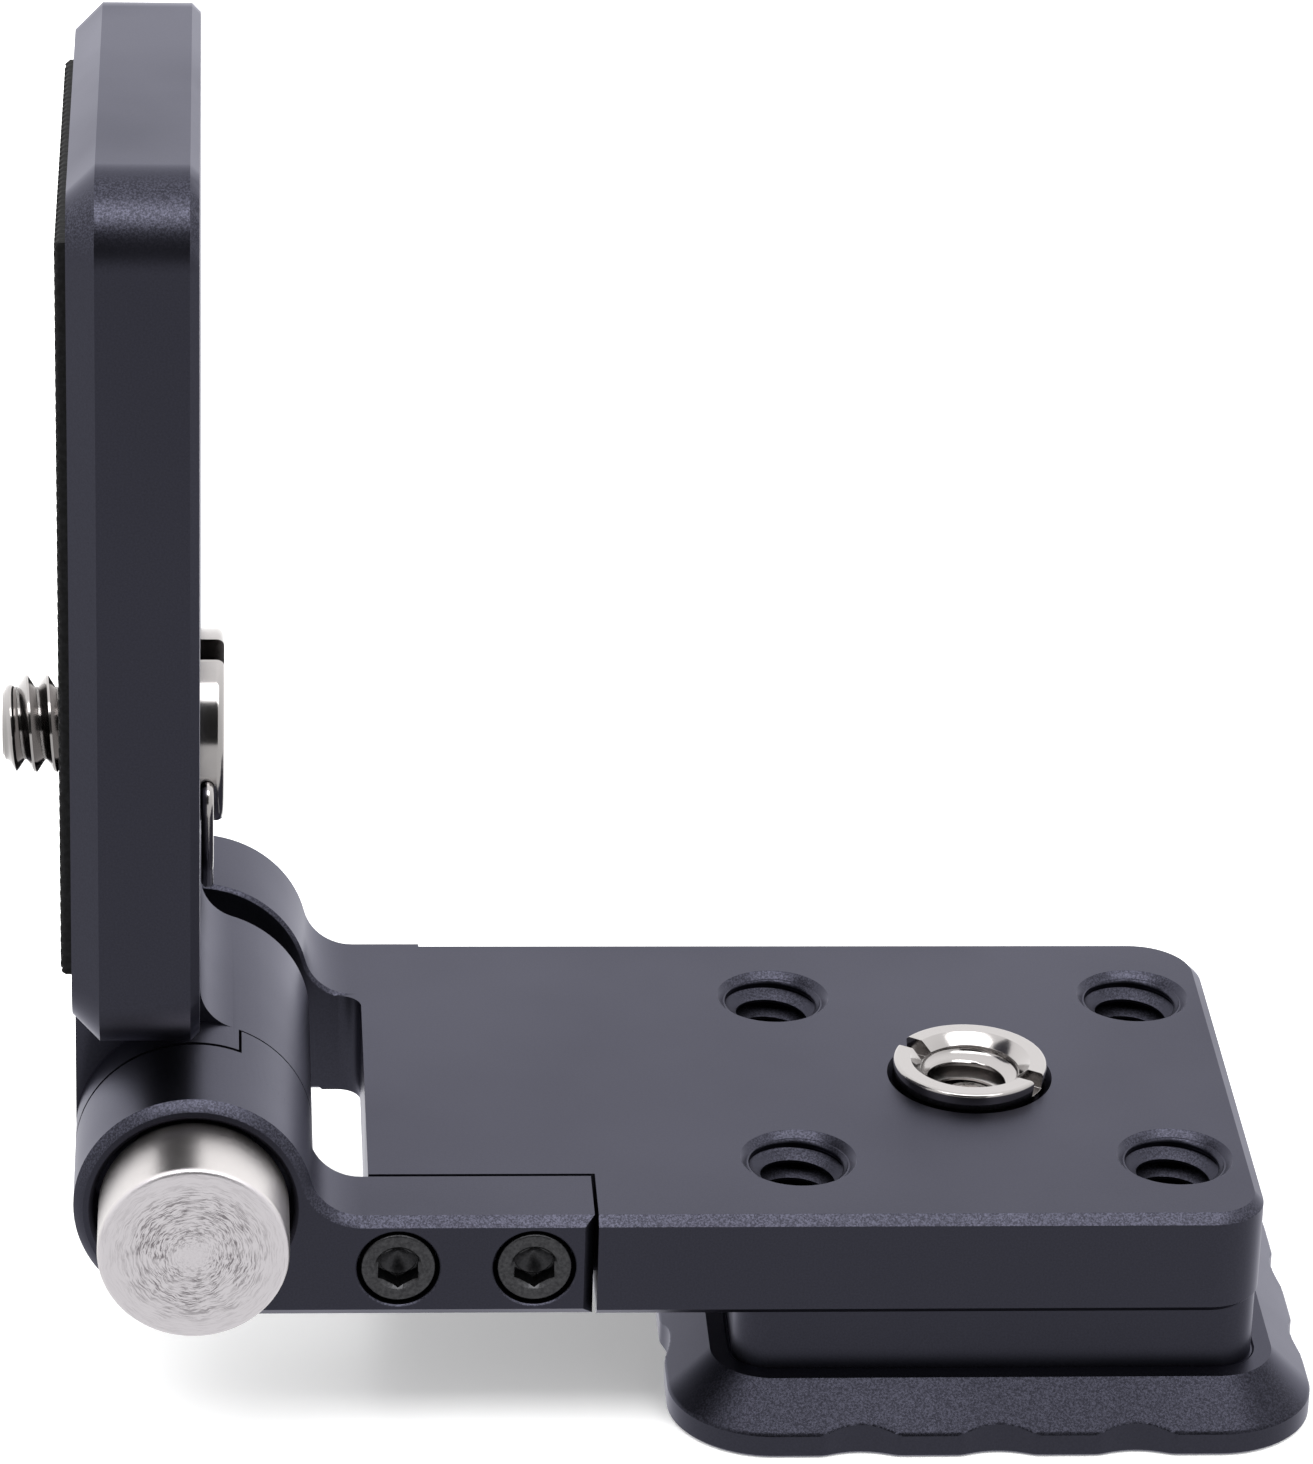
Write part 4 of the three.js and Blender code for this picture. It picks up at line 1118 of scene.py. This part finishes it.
@dataclass
class Hinge:
    """Pieces on the hinge axis: pivot pin, washers, plug, push button, star lock, screw and spring."""

    finishes: Finishes
    proud: float = 5.6
    button: float = 5.9
    tail: float = 4.3
    shoulder_y: float = -18.6
    star_y: Pair = (-11.0, -4.0)
    star_radius: float = 5.2
    star_lobes: int = 8
    star_depth: float = 0.7
    spring_radius: float = 2.35
    spring_wire: float = 0.35
    spring_turns: float = 7.0

    @property
    def centre(self) -> Pair:
        """The hinge axis in X and Z."""
        return (0.0, HINGE_Z)

    def star(self, grow: float) -> Array:
        """Star outline: radius less half the lobe depth times 1 - cos(lobes a)."""
        angle = np.linspace(0, 2 * np.pi, 160, endpoint=False)
        radius = self.star_radius + grow - self.star_depth * (0.5 - 0.5 * np.cos(self.star_lobes * angle))
        return np.array(self.centre) + radius[:, None] * np.stack([np.cos(angle), np.sin(angle)], axis=1)

    def build(self) -> None:
        """Makes and dresses every piece."""
        self.fixed_parts()
        self.push_button()
        self.lock()
        self.spring()

    def fixed_parts(self) -> None:
        """Pivot pin, the two thrust washers and the plug with its hexagon socket."""
        steel, black = self.finishes.stainless, self.finishes.black_oxide
        low, high = LAYOUT.box("pivot_pin")
        radius = (high[0] - low[0]) / 2
        pin = Solid("pivot_pin_ground", turned(Axis.Y, self.centre, [
            (radius - 0.3, low[1]), (radius, low[1] + 0.3), (radius, high[1] - 0.3), (radius - 0.3, high[1]),
        ]))
        pin.cut(Solid("pocket", turned(Axis.Y, self.centre, [(3.0, low[1] - 1), (3.0, 9.3), (2.7, 9.5)])))
        pin.dress("pivot_pin", "base", Slot.STAINLESS, steel)
        for node in ("thrust_washer_inner", "thrust_washer_outer"):
            low, high = LAYOUT.box(node)
            outer = (high[0] - low[0]) / 2
            washer = Solid(node + "_turned", ring(Axis.Y, self.centre, radius + 0.35, outer, low[1], high[1]))
            washer.dress(node, "base", Slot.BLACK_OXIDE, black)
        low, high = LAYOUT.box("hinge_plug")
        outer = (high[0] - low[0]) / 2
        plug = Solid("hinge_plug_turned", turned(Axis.Y, self.centre, [
            (outer, low[1]), (outer, high[1] - 0.4), (outer - 0.4, high[1]),
        ]))
        socket = prism(Axis.Y, polygon(6, 4.0, self.centre), high[1] - 1.8, high[1] + 1)
        plug.cut(Solid("socket", socket)).soften(0.06)
        plug.dress("hinge_plug", "base", Slot.BLACK_OXIDE, black)

    def push_button(self) -> None:
        """Button cap with a rounded edge, and the tail that slides in the front arm."""
        top, shoulder = -HALF - self.proud, self.shoulder_y
        body = Solid("release_button_turned", turned(Axis.Y, self.centre, [
            *rounded_rim(self.button, top, 0.4, 9, first=True),
            (self.button, shoulder), (self.tail, shoulder), (self.tail, self.star_y[0] - 0.3),
        ]))
        body.cut(Solid("tapping", turned(Axis.Y, self.centre, [(1.8, -18.3), (1.8, self.star_y[0] + 1)])))
        body.dress("release_button", "lock", Slot.STAINLESS, self.finishes.button)

    def lock(self) -> None:
        """Star lock, with a seat for the screw's head, and the screw."""
        start, stop = self.star_y
        star = Solid("lock_star_milled", extruded(Axis.Y, self.star, [(0, start), (0, stop)]))
        seat = [(1.8, start - 1), (1.8, stop - 2.7), (3.1, stop - 2.7), (3.1, stop + 1)]
        star.cut(Solid("seat", turned(Axis.Y, self.centre, seat))).soften(0.06)
        star.dress("lock_star", "lock", Slot.STAINLESS, self.finishes.stainless)
        head = stop - 2.4
        screw = Solid("star_screw_turned", turned(Axis.Y, self.centre, [
            (1.5, -18.0), (1.5, head), (2.75, head), (2.75, stop - 0.5), (2.55, stop - 0.3),
        ]))
        socket = prism(Axis.Y, polygon(6, 2.5, self.centre), stop - 1.8, stop + 1)
        screw.cut(Solid("socket", socket))
        screw.dress("star_screw", "lock", Slot.BLACK_OXIDE, self.finishes.black_oxide)

    def spring(self) -> None:
        """Return spring: a helix at a constant radius, y rising evenly with the angle."""
        low, high = LAYOUT.box("return_spring")
        turn = np.linspace(0, 1, int(self.spring_turns * 28))
        angle = 2 * np.pi * self.spring_turns * turn
        start, stop = low[1] + self.spring_wire, high[1] - self.spring_wire
        path = np.stack([
            self.spring_radius * np.cos(angle),
            start + (stop - start) * turn,
            HINGE_Z + self.spring_radius * np.sin(angle),
        ], axis=1)
        coil = Solid("return_spring_wound", swept(path, self.spring_wire, 14))
        reach = ("upright", np.array([0, start, HINGE_Z]), np.array([0, stop, HINGE_Z]))
        coil.dress("return_spring", "lock", Slot.SPRING, self.finishes.spring, smooth=60.0, onto=reach)


# ------------------------------------------------------------------------------------------ upright


@dataclass
class CameraPlate:
    """Upright plate with the centre knuckle, its stop tooth, the pad's seat and the screw's holes."""

    finishes: Finishes
    outer_x: float = -7.45
    inner_x: float = 0.35
    bottom_z: float = 17.6
    top_z: float = 74.65
    corner: float = 5.0
    outer_chamfer: float = 1.7
    inner_chamfer: float = 0.55
    barrel: float = 7.45
    fillet: float = 3.0
    knuckle_y: Pair = (-8.15, 7.6)
    tooth_y: float = -10.9
    tooth_angles: Pair = (-90.0, 22.0)
    tooth_inner: float = 6.3
    pad_half: float = 16.0
    pad_z: Pair = (22.6, 70.45)
    pad_sink: float = 0.9
    screw_z: float = 32.1
    screw_hole: float = 3.375
    head_seat: float = 6.4
    clip_seat: float = 4.4

    def plate(self) -> Solid:
        """Slab with a wide outer and a narrow inner chamfer."""
        def outline(inset: float) -> Array:
            """Outline in Y and Z."""
            return rounded_rectangle((-HALF, self.bottom_z), (HALF, self.top_z), (self.corner,) * 4, inset)

        wide, narrow = self.outer_chamfer, self.inner_chamfer
        back, front = self.outer_x, self.inner_x
        levels = [(wide, back), (0, back + wide), (0, front - narrow), (narrow, front)]
        return Solid("camera_plate_milled", extruded(Axis.X, outline, levels))

    def knuckle_outline(self, inset: float) -> Array:
        """Centre knuckle seen along the hinge: barrel, concave fillet and the web up into the plate.

        The fillet's centre lies barrel + fillet from the hinge axis and fillet from the plate's inner face.
        """
        centre_x = self.inner_x + self.fillet
        reach = self.barrel + self.fillet
        centre_z = HINGE_Z + np.sqrt(reach ** 2 - centre_x ** 2)
        meet = np.degrees(np.arctan2(centre_z - HINGE_Z, centre_x))
        top = self.bottom_z + 3
        return np.concatenate([
            [(self.outer_x + inset, top)],
            arc((0, HINGE_Z), self.barrel - inset, 180, 360 + meet, 90),
            arc((centre_x, centre_z), self.fillet + inset, 180 + meet, 180, 14)[1:],
            [(self.inner_x - inset, top)],
        ])

    def build(self) -> None:
        """Makes the plate, cuts it and dresses it."""
        centre = (0.0, HINGE_Z)
        start, stop = self.knuckle_y
        levels = [(0.0, start), (0, stop - 0.2), (0.2, stop)]
        knuckle = Solid("centre_knuckle", extruded(Axis.Y, self.knuckle_outline, levels))
        tooth_outline = sector(centre, self.tooth_inner, self.barrel, self.tooth_angles, 60)
        tooth = prism(Axis.Y, tooth_outline, self.tooth_y, start + EPS)
        star_bore = prism(Axis.Y, Hinge(self.finishes).star(0.05), start - 1, 0.4)
        pin_bore = turned(Axis.Y, centre, [(4.0, 0), (4.0, stop + 1)])
        half, (low, high) = self.pad_half + 0.3, self.pad_z
        sink = self.outer_x + self.pad_sink + 0.3
        pad_outline = rounded_rectangle((-half, low - 0.3), (half, high + 0.3), (2.0,) * 4)
        pad_seat = prism(Axis.X, pad_outline, self.outer_x - 1, sink)
        axis = (0.0, self.screw_z)
        solid = self.plate().join(knuckle, Solid("tooth", tooth)).cut(
            Solid("star_bore", star_bore),
            Solid("pin_bore", pin_bore),
            Solid("pad_seat", pad_seat),
            *(Solid(name, turned(Axis.X, axis, [(radius, low_x), (radius, high_x)]))
              for name, radius, low_x, high_x in (
                  ("screw_hole", self.screw_hole, self.outer_x - 1, 4),
                  ("head_seat", self.head_seat, self.inner_x - 1, 4),
                  ("clip_seat", self.clip_seat, self.outer_x, sink + 1.3))),
        )
        solid.soften(0.07)
        solid.dress("camera_plate", "upright", Slot.ALUMINIUM, self.finishes.aluminium)
        self.pad()

    def pad(self) -> None:
        """Rubber pad round a hole for the screw: a height field of small diamond lumps.

        A lump's height is |sin(pi (y + z) / pitch) sin(pi (y - z) / pitch)|, clipped, and goes at the rim.
        """
        low, high = LAYOUT.box("grip_pad")
        front = low[0]
        y = np.linspace(low[1], high[1], 321)
        z = np.linspace(low[2], high[2], 481)
        grid_y, grid_z = np.meshgrid(y, z, indexing="ij")
        pitch = 0.8
        waves = np.abs(np.sin(np.pi * (grid_y + grid_z) / pitch) * np.sin(np.pi * (grid_y - grid_z) / pitch))
        border = np.minimum.reduce([grid_y - low[1], high[1] - grid_y, grid_z - low[2], high[2] - grid_z])
        lumps = front + 0.22 - 0.2 * np.clip(waves * 1.6, 0, 1) * np.clip(border / 0.2, 0, 1)
        lumps += 0.12 * np.clip(1 - border / 0.15, 0, 1) ** 2
        shape = np.stack([lumps, grid_y, grid_z], axis=-1)
        back = shape.copy()
        back[..., 0] = high[0]
        rows, columns = len(y), len(z)
        index = np.arange(rows * columns).reshape(rows, columns)
        other = index + rows * columns
        cells = [index[:-1, :-1], index[1:, :-1], index[1:, 1:], index[:-1, 1:]]
        quads = [np.stack(cells, -1).reshape(-1, 4)]
        rim = np.concatenate([index[0, :], index[1:, -1], index[-1, -2::-1], index[-2:0:-1, 0]])
        after = np.roll(rim, -1)
        quads.append(np.stack([rim, after, after + rows * columns, rim + rows * columns], -1))
        faces = np.concatenate(quads).tolist() + [(rim + rows * columns).tolist()]
        keep = np.concatenate([shape.reshape(-1, 3), back.reshape(-1, 3)])
        used = np.unique(np.concatenate([np.arange(rows * columns), rim + rows * columns]))
        renumber = np.full(len(keep), -1)
        renumber[used] = np.arange(len(used))
        faces = [[int(renumber[i]) for i in face] for face in faces]
        solid = Solid("grip_pad_moulded", (keep[used], faces))
        hole = turned(Axis.X, (0.0, self.screw_z), [(4.2, front - 1), (4.2, high[0] + 1)])
        solid.cut(Solid("hole", hole))
        solid.dress("grip_pad", "upright", Slot.RUBBER, self.finishes.rubber, smooth=50.0)


@dataclass
class CameraScrew:
    """Captive 1/4-20 screw, its retaining clip and the folding D ring on its head."""

    finishes: Finishes
    z: float = 32.1
    tip_x: float = -12.0
    head_radius: float = 6.1
    groove_x: float = -6.25
    seat_x: float = -0.35
    face_x: float = 1.85
    turn: float = 15.0

    def turned_on_axis(self, surface: Surface) -> Surface:
        """Turns a surface about the screw's axis, to the way the screw stands."""
        return spun(surface, Axis.X, (0.0, self.z), self.turn)

    def build(self) -> None:
        """Makes and dresses the screw, the clip and the ring."""
        axis = (0.0, self.z)
        core = BODY_THREAD.major - BODY_THREAD.depth
        radius = self.head_radius
        tip, groove, seat = self.tip_x, self.groove_x, self.seat_x
        body = Solid("camera_screw_turned", turned(Axis.X, axis, [
            (core - 0.3, tip), (core, tip + 0.3), (core, groove), (2.2, groove), (2.2, groove + 1.1),
            (3.05, groove + 1.1), (3.05, seat), (radius - 0.1, seat), (radius, seat + 0.1),
            *rounded_rim(radius, self.face_x, 0.5, 8),
        ]))
        slot = box((self.face_x - 1.5, -1.0, self.z - 8), (self.face_x + 1, 1.0, self.z + 8))
        hinge = turned(Axis.Y, (self.inner_ring_x, self.z), [(0.45, -8), (0.45, 8)])
        body.cut(Solid("slot", self.turned_on_axis(slot)), Solid("ears", self.turned_on_axis(hinge)))
        body.add(BODY_THREAD.surface(Axis.X, axis, self.tip_x + 0.15, self.groove_x + 0.4, core - 0.4))
        body.dress("camera_screw", "camera_screw", Slot.NICKEL, self.finishes.nickel)
        self.clip()
        self.ring()

    @property
    def inner_ring_x(self) -> float:
        """X of the D ring's wire."""
        low, high = LAYOUT.box("d_ring")
        return float(low[0] + high[0]) / 2

    def clip(self) -> None:
        """Open retaining ring in the screw's groove."""
        low, high = LAYOUT.box("screw_clip")
        clip = Solid("screw_clip_stamped", ring(Axis.X, (0.0, self.z), 2.6, 4.1, low[0], high[0], 0.08))
        clip.cut(Solid("mouth", box((low[0] - 1, -1.4, self.z), (high[0] + 1, 1.4, self.z + 6))))
        clip.dress("screw_clip", "upright", Slot.SPRING, self.finishes.spring)

    def ring(self) -> None:
        """D ring: a wire through rounded corners, bent at each corner along a quadratic curve."""
        low, high = LAYOUT.box("d_ring")
        wire = (high[0] - low[0]) / 2
        outer, bottom = self.head_radius + 1.1, self.z - self.head_radius - 4.1
        corners = np.array([
            (-self.head_radius + 2, self.z), (-outer, self.z), (-outer, self.z - 5.2), (-outer + 3.4, bottom),
        ])
        corners = np.concatenate([corners, corners[::-1] * [-1, 1]])
        points = [corners[:1]]
        t = np.linspace(0, 1, 12)[:, None]
        for before, at, after in zip(corners[:-2], corners[1:-1], corners[2:]):
            run = 1.3
            into = at + (before - at) / np.linalg.norm(before - at) * run
            out = at + (after - at) / np.linalg.norm(after - at) * run
            points.append((1 - t) ** 2 * into + 2 * t * (1 - t) * at + t ** 2 * out)
        points.append(corners[-1:])
        path = along(Axis.X, np.concatenate(points), self.inner_ring_x)
        wire_ring = Solid("d_ring_bent", self.turned_on_axis(swept(path, wire, 24)))
        wire_ring.dress("d_ring", "d_ring", Slot.NICKEL, self.finishes.nickel, smooth=50.0)


# ------------------------------------------------------------------------------------------ studio


@dataclass
class Studio:
    """Pale floor, a tent of soft light that is brighter behind, one softbox, and the camera.

    Attributes:
        camera_place: the lens, in drawing millimetres.
        camera_turn: its turns about X, Y and Z, in degrees.
        focal_ratio: focal length over the height of the picture.
        tent_slant: direction of the tent's brightest side, from straight up towards the back, in radians.
        tent: (cosine of the angle from that side, brightness) pairs.
        softbox_place: the lamp over the near side, in drawing millimetres.
        softbox_power: its power, in watts.
        card_half: half the side of the black card round the lens, in millimetres.
    """

    camera_place: Triple = (1.37, -382.0, 210.7)
    camera_turn: Triple = (64.92, -1.664, -3.376)
    focal_ratio: float = 4.56926
    tent_slant: float = np.radians(50.0)
    tent: tuple[Pair, ...] = ((-1.0, 1.1), (-0.8, 1.15), (-0.2, 1.2), (0.3, 1.6), (0.7, 1.9), (1.0, 1.95))
    softbox_place: Triple = (30.0, -330.0, 640.0)
    softbox_power: float = 4.3
    card_half: float = 220.0

    def build(self) -> None:
        """Makes the floor, the light and the camera."""
        self.floor()
        self.world()
        self.lamps()
        self.camera()

    def floor(self) -> None:
        """Wide pale floor under the foot; glossy rays pass it, so that the metal mirrors only the light."""
        paper = Tree("pale_paper", Base_Color=linear("#f4f4f4"), Roughness=0.9,
                     Emission_Color=linear("#ffffff"), Emission_Strength=0.3)
        floor = self.square("floor", 6.0, cad_bounds[0][2] - 0.02 * MM, paper)
        bpy.context.scene.collection.objects.link(floor)
        floor.visible_glossy = False

    def square(self, name: str, half: float, height: float, finish: Tree) -> bpy.types.Object:
        """Level square of the stage, four corners at (+-half, +-half, height) in metres, with a finish."""
        corners = [(sx * half, sy * half, height) for sx, sy in ((-1, -1), (1, -1), (1, 1), (-1, 1))]
        mesh = bpy.data.meshes.new(name)
        mesh.from_pydata(corners, [], [(0, 1, 2, 3)])
        mesh.materials.append(finish.material)
        return bpy.data.objects.new(name, mesh)

    def world(self) -> None:
        """Light that comes mostly from behind and above: its brightness follows the slant from that side."""
        world = bpy.data.worlds.new("soft_tent")
        bpy.context.scene.world = world
        world.use_nodes = True
        nodes, links = world.node_tree.nodes, world.node_tree.links
        place = nodes.new("ShaderNodeTexCoord")
        slant = nodes.new("ShaderNodeVectorMath")
        slant.operation = "DOT_PRODUCT"
        slant.inputs[1].default_value = (0.0, np.sin(self.tent_slant), np.cos(self.tent_slant))
        shade = nodes.new("ShaderNodeMapRange")
        shade.inputs["From Min"].default_value = -1.0
        ramp = nodes.new("ShaderNodeValToRGB")
        for _ in self.tent[2:]:
            ramp.color_ramp.elements.new(0.5)
        for element, (position, value) in zip(ramp.color_ramp.elements, self.tent):
            element.position = (position + 1) / 2
            element.color = (value, value, value, 1.0)
        links.new(place.outputs["Generated"], slant.inputs[0])
        links.new(slant.outputs["Value"], shade.inputs["Value"])
        links.new(shade.outputs["Result"], ramp.inputs[0])
        links.new(ramp.outputs[0], nodes["Background"].inputs["Color"])
        nodes["Background"].inputs["Strength"].default_value = 1.0

    def lamps(self) -> None:
        """A softbox over the near side, which lights the chamfers, and a black card round the lens."""
        lamp = bpy.data.lights.new("overhead_softbox", "AREA")
        lamp.shape = "RECTANGLE"
        lamp.size, lamp.size_y = 0.9, 0.3
        lamp.energy = self.softbox_power
        self.face_target(bpy.data.objects.new("overhead_softbox", lamp), self.softbox_place)
        black = Tree("black_card", Base_Color=linear("#141414"), Roughness=0.9)
        card = self.square("lens_card", self.card_half * MM, 0.0, black)
        self.face_target(card, tuple(np.array(self.camera_place) * 1.08))
        card.visible_camera = False

    def face_target(self, thing: bpy.types.Object, place: Sequence[float]) -> None:
        """Links an object and turns it from its place towards the bracket."""
        target = Vector(((LAYOUT.origin + [30, 0, 20]) * MM).tolist())
        bpy.context.scene.collection.objects.link(thing)
        thing.location = ((LAYOUT.origin + np.array(place)) * MM).tolist()
        thing.rotation_euler = (target - thing.location).to_track_quat("-Z", "Y").to_euler()

    def camera(self) -> None:
        """Camera with a long lens, looking down along the hinge."""
        lens = bpy.data.cameras.new("camera")
        lens.sensor_fit = "VERTICAL"
        lens.sensor_height = 36.0
        lens.lens = 36.0 * self.focal_ratio
        lens.clip_start = 0.01
        camera = bpy.data.objects.new("camera", lens)
        bpy.context.scene.collection.objects.link(camera)
        camera.location = ((LAYOUT.origin + self.camera_place) * MM).tolist()
        about_x, about_y, about_z = (
            Matrix.Rotation(turn, 3, axis) for turn, axis in zip(np.radians(self.camera_turn), "XYZ"))
        camera.rotation_euler = (about_z @ about_y @ about_x).to_euler()
        bpy.context.scene.camera = camera


def main() -> None:
    """Builds every sub-assembly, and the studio."""
    logging.basicConfig(level=logging.INFO, format="%(message)s")
    bpy.context.scene.view_settings.view_transform = "Standard"
    finishes = Finishes()
    for assembly in (BasePlate, FrontArm, Bushing, Foot, Hinge, CameraPlate, CameraScrew):
        assembly(finishes).build()
        log.info("%s built", assembly.__name__)
    Studio().build()


if __name__ == "__main__":
    main()
